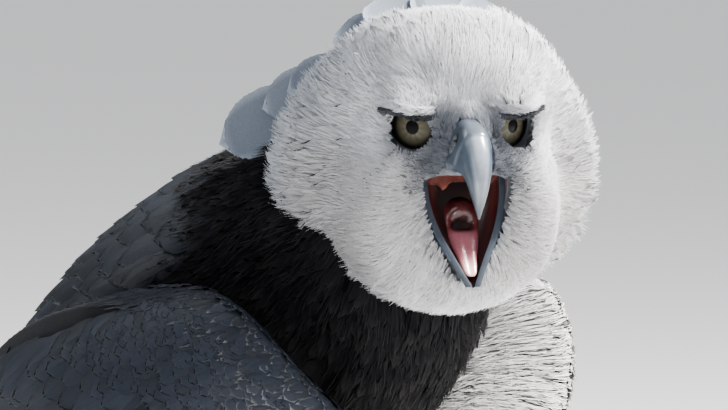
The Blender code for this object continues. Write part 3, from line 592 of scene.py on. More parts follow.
def painted_material(name, roughness, scale, depth, low=0.8, high=1.2, **values):
    """Painted colours with a grain of some scale and depth, which darkens to low and lightens to high."""
    made = Nodes(name, roughness, **values)
    grain = made.noise(scale, 4.0)
    made.base(made.shaded(made.colour(), grain, low, high))
    made.bump(grain, depth, 0.6)
    return made.material


SOFT = down_material()
VANE = vane_material()
SKIN = painted_material("skin_under_feathers", 0.9, 300.0, 0.0006)
HORN = painted_material("bill_horn", 0.30, 240.0, 0.00012, 0.80, 1.18, Coat_Weight=0.4, Coat_Roughness=0.2)
FLESH = painted_material("mouth_flesh", 0.28, 520.0, 0.0003, 0.80, 1.18, Subsurface_Weight=0.15,
                         Subsurface_Scale=0.003, Coat_Weight=0.3, Coat_Roughness=0.2)
EYE = painted_material("eye_gloss", 0.30, 2600.0, 0.00001, 0.72, 1.28, Specular_IOR_Level=0.05,
                       Coat_Weight=0.22, Coat_Roughness=0.02)
LID = painted_material("lid_skin", 0.6, 1500.0, 0.0002, Specular_IOR_Level=0.25)
SCALES = painted_material("leg_scales", 0.5, 420.0, 0.0003, 0.82, 1.14)
CLAW = painted_material("claw_horn", 0.25, 180.0, 0.0001, 0.8, 1.25, Coat_Weight=0.3, Coat_Roughness=0.2)


# Coats: batches of strips, laid and coloured in arrays of feathers, rows, columns

class Batch:
    """Strips of one shape: points, colours, vane places and the root of each on the unwrap."""

    def __init__(self, points, colour, vane, root):
        self.points, self.colour, self.vane, self.root = points, colour, vane, root

    def triangles(self):
        m, r, c = self.points.shape[:3]
        return m * (r - 1) * (c - 1) * 2


MAP_EDGE = 0.01  # free edge of the unwrap
MAP_STRIP = 0.003  # size of one strip on it


def unwrap(a, b):
    """Roots spread over the unit square by the skin's own two directions."""
    def even(v):
        v = v.ravel()
        return MAP_EDGE + (1 - 2 * MAP_EDGE) * (v - v.min()) / (np.ptp(v) + 1e-9)

    return np.stack([even(a), even(b)], -1)


def coat(name, batches, material, slot, *nodes):
    """One mesh from batches of strips, with its colours and its map for baking."""
    points, colours, marks, uvs, faces = [], [], [], [], []
    start = 0
    for batch in batches:
        m, r, c = batch.points.shape[:3]
        points.append(batch.points.reshape(-1, 3))
        colours.append(np.broadcast_to(batch.colour, (m, r, c, 3)).reshape(-1, 3))
        marks.append(np.broadcast_to(batch.vane, (m, r, c, 3)).reshape(-1, 3))
        square = np.meshgrid(np.linspace(-0.5, 0.5, c), np.linspace(-0.5, 0.5, r))
        patch = np.stack(square, -1) * MAP_STRIP
        uvs.append((batch.root[:, None, None, :] + patch).reshape(-1, 2))
        strip = np.arange(m)[:, None, None] * r * c
        i = np.arange(r - 1)[None, :, None] * c
        j = np.arange(c - 1)[None, None, :]
        first = strip + i + j + start
        faces.append(np.stack([first, first + 1, first + c + 1, first + c], -1).reshape(-1, 4))
        start += m * r * c
    faces = np.concatenate(faces)
    obj = mesh_object(name, np.concatenate(points), faces, material)
    paint(obj, np.clip(np.concatenate(colours), 0.001, 1))
    paint(obj, np.concatenate(marks), "Vane")
    layer = obj.data.uv_layers.new(name="OFBake")
    layer.data.foreach_set("uv", np.concatenate(uvs)[faces.ravel()].astype(np.float32).ravel())
    return finished(obj, slot, *nodes)


def coats(name, batches, material, slot, *nodes):
    """As coat, in as many pieces as the limit on triangles asks for."""
    pieces, room = [[]], COAT_FACES
    for batch in batches:
        if batch.triangles() > room and pieces[-1]:
            pieces.append([])
            room = COAT_FACES
        pieces[-1].append(batch)
        room -= batch.triangles()
    for k, piece in enumerate(pieces):
        label = name if len(pieces) == 1 else f"{name}_{k + 1}"
        coat(label, piece, material, slot, *(nodes if k == 0 else ()))


VANE_SHAPES = {
    # half width, by the share of the length
    "round": ((0.0, 0.25), (0.1, 0.5), (0.3, 0.86), (0.55, 1.0), (0.72, 0.97), (0.84, 0.85), (0.92, 0.66),
              (0.97, 0.42), (1.0, 0.10)),
    "soft": ((0.0, 0.30), (0.2, 0.75), (0.5, 1.0), (0.75, 0.92), (0.9, 0.62), (1.0, 0.12)),
    "crest": ((0.0, 0.16), (0.12, 0.42), (0.45, 0.92), (0.62, 1.0), (0.75, 0.97), (0.84, 0.87), (0.91, 0.71),
              (0.95, 0.55), (0.98, 0.36), (1.0, 0.06)),
    "flight": ((0.0, 0.12), (0.05, 0.5), (0.2, 0.85), (0.55, 1.0), (0.85, 0.93), (0.93, 0.72), (0.975, 0.45),
               (1.0, 0.10)),
}
TIP_ROWS = 1.4  # above 1, a vane's rows of points lie closer together towards its tip
VANE_BEND, TUFT_BEND = 0.45, 0.5  # share of the length at which the middle height is
VANE_REACH = 8  # scale of the barbs' ripple along a vane


def each(count, values, copies=1):
    """Values as one number for each strip, to be used with arrays of strips, rows and columns."""
    return [np.repeat(np.broadcast_to(v, count).astype(float), copies)[:, None, None] for v in values]


def height_at(u, lift, bend):
    """Height over the surface, straight from the root's to the middle's and on to the tip's."""
    root, centre, tip = lift
    first, second = np.clip(u / bend, 0, 1), np.clip((u - bend) / (1 - bend), 0, 1)
    return root + (centre - root) * first + (tip - centre) * second


def vanes(surface, facing, a, b, heading, length, half, lift, colour, shape="round", rows=8, columns=5,
          camber=0.10, tilt=0.0, ragged=0.06):
    """Feathers with a closed vane. lift is height at the root, the middle and the tip."""
    count = len(a)
    at_a, at_b, head, far, wide = each(count, (a, b, heading, length, half))
    u = 1 - (1 - np.linspace(0, 1, rows)[None, :, None]) ** TIP_ROWS
    w = np.linspace(-1, 1, columns)[None, None, :]
    outline = read(VANE_SHAPES[shape], u)
    notch = DRAW.random((count, rows, columns)) * ragged * np.abs(w) ** 4
    x = far * (u - 0.05 * w * w * u - notch * 0.5 * u)
    y = wide * outline * w * (1 - notch)
    height = height_at(u, each(count, lift), VANE_BEND) - camber * wide * outline * w * w + tilt * w
    points = spread(surface, facing, at_a, at_b, head, x, y, height)
    tint = DRAW.random(count)[:, None, None]
    shade = colour(surface(a, b)[:, None, None, :], u, w, tint)
    vane = np.stack(np.broadcast_arrays(u * far * VANE_REACH, w * 0.5 + 0.5, tint), -1)
    return Batch(points, shade, vane, unwrap(a, b))


def tufts(surface, facing, a, b, heading, length, half, lift, colour, blades=7, rows=4, thick=0.0005,
          fan=0.5, stray=0.10, curl=0.0):
    """Loose feathers: each is a bundle of thin blades that spread from one root."""
    count, total = len(a), len(a) * blades
    at_a, at_b, head, far, wide = each(count, (a, b, heading, length, half), blades)
    t = np.tile(np.linspace(-1, 1, blades), count)[:, None, None]
    noise = DRAW.normal(0, 1, (5, total))[:, :, None, None]
    head = head + noise[0] * stray
    far = far * (1 - 0.22 * t * t + 0.10 * noise[1].clip(-2, 2))
    u = np.linspace(0, 1, rows)[None, :, None]
    w = np.linspace(-1, 1, 2)[None, None, :]
    narrow = thick * (1.0 - 0.75 * u**2) * (1 + 0.25 * noise[2].clip(-2, 2))
    x = far * u * (1 - 0.10 * np.abs(t) * u)
    y = wide * t * (fan * u + (1 - fan) * np.minimum(1, 2.2 * u) - 0.25 * u * u) + narrow * w
    y = y + curl * far * u * u * noise[3].clip(-1.5, 1.5)
    height = height_at(u, each(count, lift, blades), TUFT_BEND)
    height = height - 0.12 * wide * t * t + 0.0006 * noise[4].clip(-2, 2) * u
    points = spread(surface, facing, at_a, at_b, head, x, y, height)
    tint = np.repeat(DRAW.random(count), blades)[:, None, None]
    fine = DRAW.random(total)[:, None, None]
    spot = np.repeat(surface(a, b), blades, axis=0)[:, None, None, :]
    shade = colour(spot, u, t, 0.6 * tint + 0.4 * fine)
    vane = np.stack(np.broadcast_arrays(u, t * 0.5 + 0.5, tint), -1)
    return Batch(points, shade, vane, np.repeat(unwrap(a, b), blades, axis=0))


def uneven(heights, by, count):
    """Heights that differ a little from feather to feather."""
    return [height + DRAW.normal(0, by, count) for height in heights]


UNDER_SHADE = 0.66  # the soft vanes are this much darker than the barbs over them


def soft(surface, facing, a, b, heading, length, half, lifts, colour, blades, thick, rows=4, curl=0.05):
    """Soft feathers: a thin vane under a spray of fine barbs."""
    under = [v - 0.0010 for v in lifts]

    def shaded(p, u, t, tint):
        return colour(p, u, t, tint) * UNDER_SHADE

    return [
        vanes(surface, facing, a, b, heading, length * 0.84, half * 0.72, under, shaded, shape="soft",
              rows=5, columns=4, camber=0.25, ragged=0.10),
        tufts(surface, facing, a, b, heading, length, half, lifts, colour, blades=blades, rows=rows,
              thick=thick, stray=0.045, curl=curl),
    ]


EVEN_A, EVEN_B = 0.7548776662, 0.5698402909  # steps that fill a square evenly


def scattered(count, a_range, b_range):
    """Roots spread evenly over a rectangle of a surface's two directions."""
    k = np.arange(count) + 0.5
    a = a_range[0] + (a_range[1] - a_range[0]) * ((k * EVEN_A) % 1)
    b = b_range[0] + (b_range[1] - b_range[0]) * ((k * EVEN_B) % 1)
    return a, b


# Skin: one surface under all the feathers

HEAD_SKIN = 0.0065  # how deep the skin lies under the feathered surface
BODY_SKIN = 0.0060
PAD_SKIN = 0.0110
THIGH_SKIN = 0.005
VOXEL = 0.0033
# For each form under the skin, the low and high end and the count of both its directions
HEAD_SPANS = ((0.02, np.pi - 0.02, 70), (-np.pi, np.pi, 84))
TRUNK_SPANS = ((-0.074, 0.419, 70), (0, 2 * np.pi, 72))
THIGH_SPANS = ((0, 1, 30), (0, 2 * np.pi, 28))
PAD_SPAN, PAD_COUNT = (-0.97, 0.97, 40), 44
STUMP_SPAN, STUMP_COUNT = (-0.05, 0.055, 8), 20
STUMP_WIDE, STUMP_TALL, STUMP_DROP = 0.030, 0.008, 0.004

# The lower bill, forward and up: its hinge, its tip and its sections from the one to the other
GAPE = row(0.010, -0.0270)
LOWER_TIP = row(0.0560, -0.0845)
LOWER_WIDTH = ((0.0260,), (0.0240,), (0.0184,), (0.0100,), (0.0020,))
LOWER_DEPTH = ((0.0170,), (0.0165,), (0.0145,), (0.0105,), (0.0040,))
LOWER_BOW = 0.0035
LOWER_WALL = 0.0022
LOWER_LINE = unit(LOWER_TIP - GAPE)
LOWER_BELOW = row(LOWER_LINE[1], -LOWER_LINE[0])
MOUTH = (
    # forward, roof, floor, half width at the roof and at the floor
    (-0.036, -0.033, -0.049, 0.009, 0.007),
    (-0.014, -0.028, -0.050, 0.020, 0.014),
    (0.008, -0.0255, -0.040, 0.0272, 0.0250),
    (0.030, -0.0225, -0.056, 0.0272, 0.0215),
    (0.056, -0.0195, -0.088, 0.0280, 0.0060),
    (0.075, -0.0180, -0.108, 0.0280, 0.0050),
)


def grid_rings(surface, facing, spans, lift):
    """Rings of a surface, from two ranges as (low, high, count), at one lift."""
    (a0, a1, rows), (b0, b1, count) = spans
    a = np.linspace(a0, a1, rows)[:, None] + np.zeros((1, count))
    b = (b0 + (b1 - b0) * np.arange(count) / count)[None, :] + np.zeros((rows, 1))
    return lifted(surface, facing, a, b, np.full(a.shape, lift))


MOUTH_SQUARE = 0.6  # below 1, its sections are squarer than an oval
ROOF_FROM = 0.9  # share of the height from which a point is on the roof
RIDGE_HIGH, RIDGE_AT, RIDGE_WIDE = 0.0012, 0.006, 0.0016  # the two ridges of the mouth's roof
KNOB_HIGH, KNOB_AT, KNOB_WIDE, KNOB_LONG = 0.0020, 0.004, 0.004, 0.006  # the knob between them


def mouth_cutter():
    """The open mouth's hollow, with ridges on the palate."""
    rings = []
    stations = between(MOUTH, 34)
    count = 48
    turn = circle(count)
    out = np.copysign(np.abs(np.cos(turn)) ** MOUTH_SQUARE, np.cos(turn))
    share = (1 + np.copysign(np.abs(np.sin(turn)) ** MOUTH_SQUARE, np.sin(turn))) / 2
    for forward, roof, floor, wide, narrow in stations:
        width = narrow + (wide - narrow) * share
        left = width * out
        ridge = RIDGE_HIGH * np.exp(-((np.abs(left) - RIDGE_AT) / RIDGE_WIDE) ** 2)
        knob = KNOB_HIGH * np.exp(-((left / KNOB_WIDE) ** 2))
        knob = knob * np.exp(-(((forward - KNOB_AT) / KNOB_LONG) ** 2))
        up = floor + (roof - floor) * share - (ridge + knob) * (share > ROOF_FROM)
        rings.append(np.stack([np.full(count, forward), left, up], -1))
    return loft("mouth_cutter", head_xyz(rings), SKIN)


def lower_sections(count):
    """Shares of the lower bill's length, its rim there, its half widths and its depths."""
    widths = between(LOWER_WIDTH, count)[:, 0]
    depths = between(LOWER_DEPTH, count)[:, 0]
    share = np.linspace(0, 1, count)
    rims = GAPE + (LOWER_TIP - GAPE) * share[:, None]
    return share, rims, widths, depths


SCOOP_ROOM = 0.001  # free room round the lower bill's inside
SCOOP_BACK, SCOOP_OVER = 0.008, 0.006  # how far the cut reaches behind its hinge and over its rim


def scoop_cutter():
    """Clears the head from the lower bill's inside."""
    rings = []
    for share, rim, wide, deep in zip(*lower_sections(16)):
        start = rim - LOWER_LINE * (SCOOP_BACK if share == 0 else 0.0)
        turn = np.linspace(-np.pi / 2, np.pi / 2, 17)
        drop = LOWER_BOW * math.sin(math.pi * share) + (deep + SCOOP_ROOM) * np.abs(np.cos(turn)) ** 0.8
        left = (wide + SCOOP_ROOM) * np.sin(turn)
        at = start + LOWER_BELOW * drop[:, None]
        ring = np.stack([at[:, 0], left, at[:, 1]], -1)
        top = start - LOWER_BELOW * SCOOP_OVER
        ends = [row(top[0], wide + SCOOP_ROOM, top[1]), row(top[0], -wide - SCOOP_ROOM, top[1])]
        rings.append(np.vstack([ring, ends]))
    return loft("scoop_cutter", head_xyz(rings), SKIN)


def eye_axes(side):
    """The eye's centre, where it looks, and the ways to its outer corner and up, in the head's frame."""
    centre = row(EYE_PLACE[0], side * EYE_PLACE[1], EYE_PLACE[2])
    look = row(math.cos(EYE_TURN), side * math.sin(EYE_TURN), 0)
    return centre, look, side * np.cross(UP, look), UP


OPENING = (0.0142, 0.0112)  # half width and half height of the open lids
OPENING_OUT = 0.0010  # how far the opening's middle lies towards the outer corner
OPENING_SLANT = 0.08
OPENING_EXTRA, OPENING_REACH = 0.0015, (0.002, 0.034)  # how much wider, and where, the skin is cut
GAZE_UP = turned(6)


def opening_point(turn, grow=0.0):
    """The lids' almond outline, sideways and up, by the turn round it."""
    wide = (OPENING[0] + grow) * np.copysign(np.abs(np.cos(turn)) ** 0.9, np.cos(turn))
    high = (OPENING[1] + grow) * np.sin(turn) + OPENING_SLANT * wide
    return wide + OPENING_OUT, high


def opening_cutter(side):
    """Clears the skin from before an eye."""
    centre, look, across, up = eye_axes(side)
    wide, high = opening_point(circle(32), OPENING_EXTRA)
    outline = centre + wide[:, None] * across + high[:, None] * up
    return loft("opening_cutter", head_xyz([outline + look * reach for reach in OPENING_REACH]), SKIN)


BARE_OUT, BARE_IN = 0.0098, 0.0166  # half axes of the bare oval round an eye, outwards and inwards
BARE_ABOVE, BARE_BELOW = 0.0134, 0.0098
BARE_BILL = ((-0.0245, 0.0200), (-0.0120, 0.0130), (0.0060, 0.0095), (0.0125, 0.0056))  # up, half width
BARE_BILL_UP = (-0.0265, 0.0104)  # the bill's bare skin lies between these heights
BARE_MOUTH = (-0.12, 1.03)  # from and to which share of the lower bill's length
BARE_MOUTH_UP, BARE_MOUTH_FROM = -0.0235, -0.01
BARE_BESIDE, BARE_BELOW_IT = 0.0018, 0.0020  # bare skin beside and below the lower bill


def by_eye(local, side):
    """Places outwards and up of the middle of an eye's open lids, and before the eye's centre."""
    centre, look, across, above = eye_axes(side)
    offset = local - centre
    return offset @ across - OPENING_OUT, offset @ above, offset @ look


def bare(local, more=0.0):
    """True where the head has no feathers, the eyes, the bill and the open mouth, or within more of them."""
    forward, left, up = local.T
    found = np.zeros(len(local), bool)
    for side in (1, -1):
        x, z, ahead = by_eye(local, side)
        z = z - OPENING_SLANT * x
        wide = np.where(x > 0, BARE_OUT, BARE_IN) + more
        tall = np.where(z > 0, BARE_ABOVE, BARE_BELOW) + more
        found |= (ahead > 0) & ((x / wide) ** 2 + (z / tall) ** 2 < 1)
    bill = read(BARE_BILL, up) + more
    level = (up > BARE_BILL_UP[0]) & (up < BARE_BILL_UP[1] + more)
    found |= (forward > 0.0) & level & (np.abs(left) < bill)
    at = local[:, [0, 2]] - GAPE
    along, below = at @ LOWER_LINE, at @ LOWER_BELOW
    share, _, widths, depths = lower_sections(30)
    k = along / np.linalg.norm(LOWER_TIP - GAPE)
    wide = np.interp(k, share, widths) + BARE_BESIDE + more
    deep = np.interp(k, share, depths) + BARE_BELOW_IT + more
    mouth = (k > BARE_MOUTH[0]) & (k < BARE_MOUTH[1]) & (below < deep) & (np.abs(left) < wide)
    return found | (mouth & (up < BARE_MOUTH_UP) & (forward > BARE_MOUTH_FROM))


HEAD_REACH, HEAD_NEAR = 0.112, 0.15  # how far from the heart the pale skin, and any of the head, reaches
BELLY_BELOW, BELLY_FROM = -0.045, 0.11  # the belly is under the first and behind the second
LIP_BROAD = 0.0060  # how broad the grey skin by the eyes and the bill is
# The mouth's lining: how near to the heart, how deep, from where forwards, below what and how broad
LINING_NEAR, LINING_DEPTH, LINING_FROM, LINING_TOP, LINING_HALF = 0.14, 0.0012, -0.045, -0.02, 0.031
SKIN_BLACK = row(0.016, 0.016, 0.020) * 0.7
SKIN_BELLY = row(0.42, 0.42, 0.42)
SKIN_HEAD = row(0.46, 0.47, 0.49)
MOUTH_ROOF, MOUTH_FLOOR = row(0.42, 0.15, 0.125), row(0.10, 0.022, 0.020)
# painted shade: black down the throat
THROAT_SHADE = row(0.012, 0.004, 0.005)
SKIN_LIP_LOW, SKIN_LIP_HIGH = row(0.12, 0.125, 0.138), row(0.16, 0.168, 0.185)


def mouth_colour(local):
    """Pink palate, darker below, and painted shade going black down the throat."""
    return layered(
        MOUTH_ROOF,
        (MOUTH_FLOOR, ramp(local[:, 2], -0.030, -0.046)),
        (THROAT_SHADE, ramp(local[:, 0], 0.006, -0.020)),
    )


def skin_colour(p):
    """Dark under the dark feathers, pale under the head's and the belly's, grey by the eyes and the bill."""
    local = head_local(p)
    head = np.linalg.norm(local - HEART, axis=1) < HEAD_REACH
    below = (p - BODY_START) @ BODY_UP
    along = (p - BODY_START) @ BODY_BACK
    belly = (below < BELLY_BELOW) & (along > BELLY_FROM)
    colour = np.tile(SKIN_BLACK, (len(p), 1))
    colour = np.where(belly[:, None], SKIN_BELLY, colour)
    colour = np.where(head[:, None], SKIN_HEAD, colour)
    lip = head & bare(local, LIP_BROAD)
    upper = ramp(local[:, 2], -0.036, -0.028)
    return np.where(lip[:, None], mix(SKIN_LIP_LOW, SKIN_LIP_HIGH, upper), colour)


def skin_forms():
    """Rings of the forms that the skin is joined from, a little under the feathered surfaces."""
    yield grid_rings(head_surface, -1, HEAD_SPANS, -HEAD_SKIN)
    yield grid_rings(trunk_surface, 1, TRUNK_SPANS, -BODY_SKIN)
    for label, side in SIDES.items():
        surface = pad_surface(label, WING_THICK - PAD_SKIN)
        yield [surface(circle(PAD_COUNT), np.full(PAD_COUNT, span)) for span in np.linspace(*PAD_SPAN)]
        yield grid_rings(thigh_surface(label), side, THIGH_SPANS, -THIGH_SKIN)
    round_tail = np.linspace(0, 2 * np.pi, STUMP_COUNT, endpoint=False)
    back, turn = np.meshgrid(np.linspace(*STUMP_SPAN), round_tail, indexing="ij")
    rise = STUMP_TALL * np.sin(turn) - STUMP_DROP
    yield tail_surface(back, STUMP_WIDE * np.cos(turn)) + rise[..., None] * TAIL_UP


def in_mouth(local):
    """True for the skin's points that line the open mouth."""
    forward, left, up = local.T
    near = np.linalg.norm(local - HEART, axis=1) < LINING_NEAR
    deep = np.zeros(len(local))
    deep[near] = head_field(local[near]) + HEAD_SKIN
    inside = (deep < -LINING_DEPTH) & (forward > LINING_FROM) & (up < LINING_TOP)
    return near & inside & (np.abs(left) < LINING_HALF)


def make_skin():
    skin = joined("skin", [loft("form", rings, SKIN) for rings in skin_forms()], SKIN)
    applied(skin, "REMESH", mode="VOXEL", voxel_size=VOXEL)
    applied(skin, "SMOOTH", factor=0.5, iterations=5)
    for cutter in (mouth_cutter(), scoop_cutter(), opening_cutter(1), opening_cutter(-1)):
        applied(skin, "BOOLEAN", operation="DIFFERENCE", solver="MANIFOLD", object=cutter)
        bpy.data.objects.remove(cutter)
    skin.data.materials.clear()
    skin.data.materials.append(SKIN)
    skin.data.materials.append(FLESH)
    p = places(skin)
    local = head_local(p)
    mouth = in_mouth(local)
    paint(skin, np.where(mouth[:, None], mouth_colour(local), skin_colour(p)))
    for face in skin.data.polygons:
        if all(mouth[v] for v in face.vertices):
            face.material_index = 1
    skin.data.shade_smooth()
    nodes = ["head", "neck", "torso", "wing_left", "wing_right", "thigh_left", "thigh_right", "tail"]
    return finished(skin, "head_feather", *nodes)


# Bill, tongue and eyes

# Stations of the upper bill: forward and up of its ridge and its edge, and the half widths there
CULMEN = (
    (0.018, 0.0105), (0.034, 0.0118), (0.047, 0.0078), (0.0575, -0.003), (0.0632, -0.019), (0.0615, -0.0395),
)
CUTTING_EDGE = (
    (0.004, -0.0245), (0.024, -0.0215), (0.039, -0.0188),
    (0.0495, -0.0185), (0.0560, -0.0265), (0.0603, -0.0395),
)
RIDGE_WIDTH = ((0.0104,), (0.0100,), (0.0094,), (0.0080,), (0.0052,), (0.0007,))
EDGE_WIDTH = ((0.0262,), (0.0186,), (0.0128,), (0.0094,), (0.0056,), (0.0007,))
NOSTRIL = row(0.0300, 0.0128, -0.0010)
NOSTRIL_DEPTH, NOSTRIL_RIM = 0.0042, 0.0005
NOSTRIL_WIDE, NOSTRIL_TALL = 0.0033, 0.0050
CERE = 0.36  # share of the bill's length that the cere takes
CERE_STEP = 0.0007  # how far it stands out
HORN_BACK, HORN_TIP = row(0.072, 0.096, 0.128), row(0.045, 0.058, 0.076)
# painted highlight: a pale streak along the bill's ridge
HORN_RIDGE_HIGHLIGHT = row(0.46, 0.50, 0.56)
HORN_CERE = row(0.080, 0.100, 0.125)
HORN_EDGE = row(0.060, 0.070, 0.085)
HORN_INSIDE = row(0.36, 0.12, 0.11)
# painted shade in the nostril's pit
NOSTRIL_SHADE = row(0.006, 0.006, 0.008)


def make_upper_bill():
    rows, count = 72, 64
    culmen, edge = between(CULMEN, rows), between(CUTTING_EDGE, rows)
    narrow, wide = between(RIDGE_WIDTH, rows), between(EDGE_WIDTH, rows)
    turn = circle(count)
    rise, out = np.cos(turn), np.sin(turn)
    under = np.clip(-rise, 0, 1) ** 0.45
    rise = np.where(rise < 0, -under, rise)
    drop = (1 - rise) / 2
    width = narrow + (wide - narrow) * drop**2
    centre, half = (culmen + edge) / 2, (culmen - edge) / 2
    left = np.copysign(np.abs(out) ** 0.8, out) * width
    share = np.linspace(0, 1, rows)[:, None]
    inside = (np.cos(turn) < -0.25)[None, :] * ramp(1 - np.abs(out) / 0.90, 0.0, 0.5)
    hollow = inside * 0.5 * np.clip(1 - share * 1.02, 0, 1) ** 0.6
    level = rise + hollow * 1.1
    step = CERE_STEP * (1 - ramp(share, CERE - 0.012, CERE + 0.02)) * (drop < 0.75)
    forward = centre[:, :1] + half[:, :1] * level
    up = centre[:, 1:] + half[:, 1:] * level + step
    left = left + np.sign(left) * step
    local = np.stack([forward, left, up], -1)
    side = np.abs(local[..., 1])
    offset = local - NOSTRIL * row(1, 0, 1)
    slit = ((offset[..., 0] - 0.25 * offset[..., 2]) / NOSTRIL_WIDE) ** 2 + (offset[..., 2] / NOSTRIL_TALL) ** 2
    beside = side > 0.006
    pit = np.exp(-slit * 0.9) * beside
    rim = np.exp(-((np.sqrt(slit) - 1.5) / 0.35) ** 2) * beside
    local[..., 1] -= np.sign(local[..., 1]) * (NOSTRIL_DEPTH * pit - NOSTRIL_RIM * rim)
    obj = loft("bill_horn_upper", head_xyz(local), HORN)
    shape = (rows, count)
    along = loft_values(share, shape, 0, 1)
    low = loft_values(drop, shape, 0.5, 0.5)
    hid = loft_values(inside, shape, 0, 0)
    dark = loft_values(pit, shape, 0, 0)
    # where the painted highlight lies along the ridge
    ridge = ramp(low, 0.20, 0.0) * ramp(along, 0.10, 0.40) * ramp(along, 1.0, 0.75)
    growth = 0.5 + 0.5 * np.sin(low * 95 + 2.2 * np.sin(along * 9))
    horn = layered(HORN_BACK, (HORN_TIP, ramp(along, 0.55, 1.0)), (HORN_RIDGE_HIGHLIGHT, 0.60 * ridge))
    horn = horn * (1 - 0.16 * growth * ramp(along, 0.25, 0.5))[:, None]
    paint(obj, layered(
        horn,
        (HORN_CERE, ramp(along, CERE + 0.03, CERE - 0.02) * 0.8),
        (HORN_EDGE, 0.75 * ramp(low, 0.86, 1.0)),
        (HORN_INSIDE, hid * ramp(along, 0.75, 0.35)),
        (NOSTRIL_SHADE, np.clip(dark * 2.4, 0, 1)),
    ))
    return finished(obj, "horn", "bill_upper")


RIM_INSIDE = 0.0030  # how far the lower bill's rim stands in over its hollow
RIM_ROUND = 0.0011
LOWER_BACK, LOWER_FRONT = row(0.062, 0.078, 0.100), row(0.042, 0.052, 0.066)
LOWER_MIDDLE = row(0.040, 0.046, 0.056)
FLOOR_BACK, FLOOR_FRONT = row(0.070, 0.018, 0.017), row(0.036, 0.020, 0.024)
# painted shade deep in the lower bill's trough, towards its back
FLOOR_DEEP_SHADE, FLOOR_WALL = row(0.014, 0.006, 0.007), row(0.11, 0.030, 0.026)


def make_lower_bill():
    rows, count = 40, 34
    share, rims, widths, depths = lower_sections(rows)
    turn = np.linspace(-np.pi / 2, np.pi / 2, count)
    shells = []
    for wall in (-RIM_INSIDE * (1 - 0.55 * share[:, None]), LOWER_WALL):
        drop = (LOWER_BOW * np.sin(np.pi * share))[:, None]
        drop = drop + (depths[:, None] + wall) * np.abs(np.cos(turn)) ** 0.8
        left = (widths[:, None] + wall) * np.sin(turn)
        at = rims[:, None, :] + LOWER_BELOW * drop[..., None]
        shells.append(np.stack([at[..., 0], left, at[..., 1]], -1))
    inner, outer = shells
    ring = np.concatenate([outer, inner[:, ::-1]], 1)
    obj = loft("bill_horn_lower", head_xyz(ring), HORN)
    applied(obj, "BEVEL", width=RIM_ROUND, segments=3, limit_method="ANGLE", angle_limit=turned(50))
    local = head_local(places(obj))
    depth = (local[:, [0, 2]] - GAPE) @ LOWER_BELOW
    along = (local[:, [0, 2]] - GAPE) @ LOWER_LINE / np.linalg.norm(LOWER_TIP - GAPE)
    k = np.clip(along, 0, 1)
    wide = np.interp(k, share, widths)
    deep = np.interp(k, share, depths)
    bow = LOWER_BOW * np.sin(np.pi * k)
    reach = np.sqrt((local[:, 1] / wide) ** 2 + np.clip((depth - bow) / deep, 0, 2) ** 2)
    inside = ramp(reach, 1.03, 0.98)
    aside = np.abs(local[:, 1]) / wide
    horn = layered(LOWER_BACK, (LOWER_FRONT, ramp(k, 0.5, 1.0)), (LOWER_MIDDLE, 0.6 * ramp(aside, 0.93, 0.80)))
    flesh = layered(
        FLOOR_BACK,
        (FLOOR_FRONT, ramp(k, 0.3, 0.8)),
        (FLOOR_DEEP_SHADE, ramp(depth - bow, 0.006, 0.013) * ramp(k, 0.75, 0.35)),
        (FLOOR_WALL, 0.75 * ramp(aside, 0.55, 0.85) * ramp(k, 0.50, 0.06)),
    )
    paint(obj, mix(horn, flesh, inside * ramp(depth - bow, 0.0012, 0.0036)))
    return finished(obj, "horn", "bill_lower")


TONGUE = (
    # forward, up, half width and half height
    (-0.0150, -0.0460, 0.0080, 0.0040), (-0.0040, -0.0475, 0.0108, 0.0056),
    (0.0060, -0.0510, 0.0110, 0.0050), (0.0160, -0.0600, 0.0098, 0.0034),
    (0.0290, -0.0700, 0.0088, 0.0030), (0.0405, -0.0760, 0.0070, 0.0026),
    (0.0495, -0.0800, 0.0042, 0.0018),
)
MOUND, HOLE = 0.36, 0.475  # shares of the tongue's length where the windpipe's mound and its opening are
MOUND_HIGH, HOLE_DEPTH, GROOVE_DEPTH = 0.0034, 0.0062, 0.0012
TONGUE_BLUNT = 0.93  # share of its length from which its tip is rounded
TONGUE_BACK, TONGUE_FRONT = row(0.080, 0.013, 0.015), row(0.42, 0.165, 0.195)
TONGUE_TIP, TONGUE_EDGE = row(0.90, 0.66, 0.60), row(0.42, 0.085, 0.085)
# painted shade in the windpipe's opening and going black behind the mound
WINDPIPE_SHADE, GULLET_SHADE = row(0.008, 0.002, 0.003), row(0.006, 0.002, 0.002)


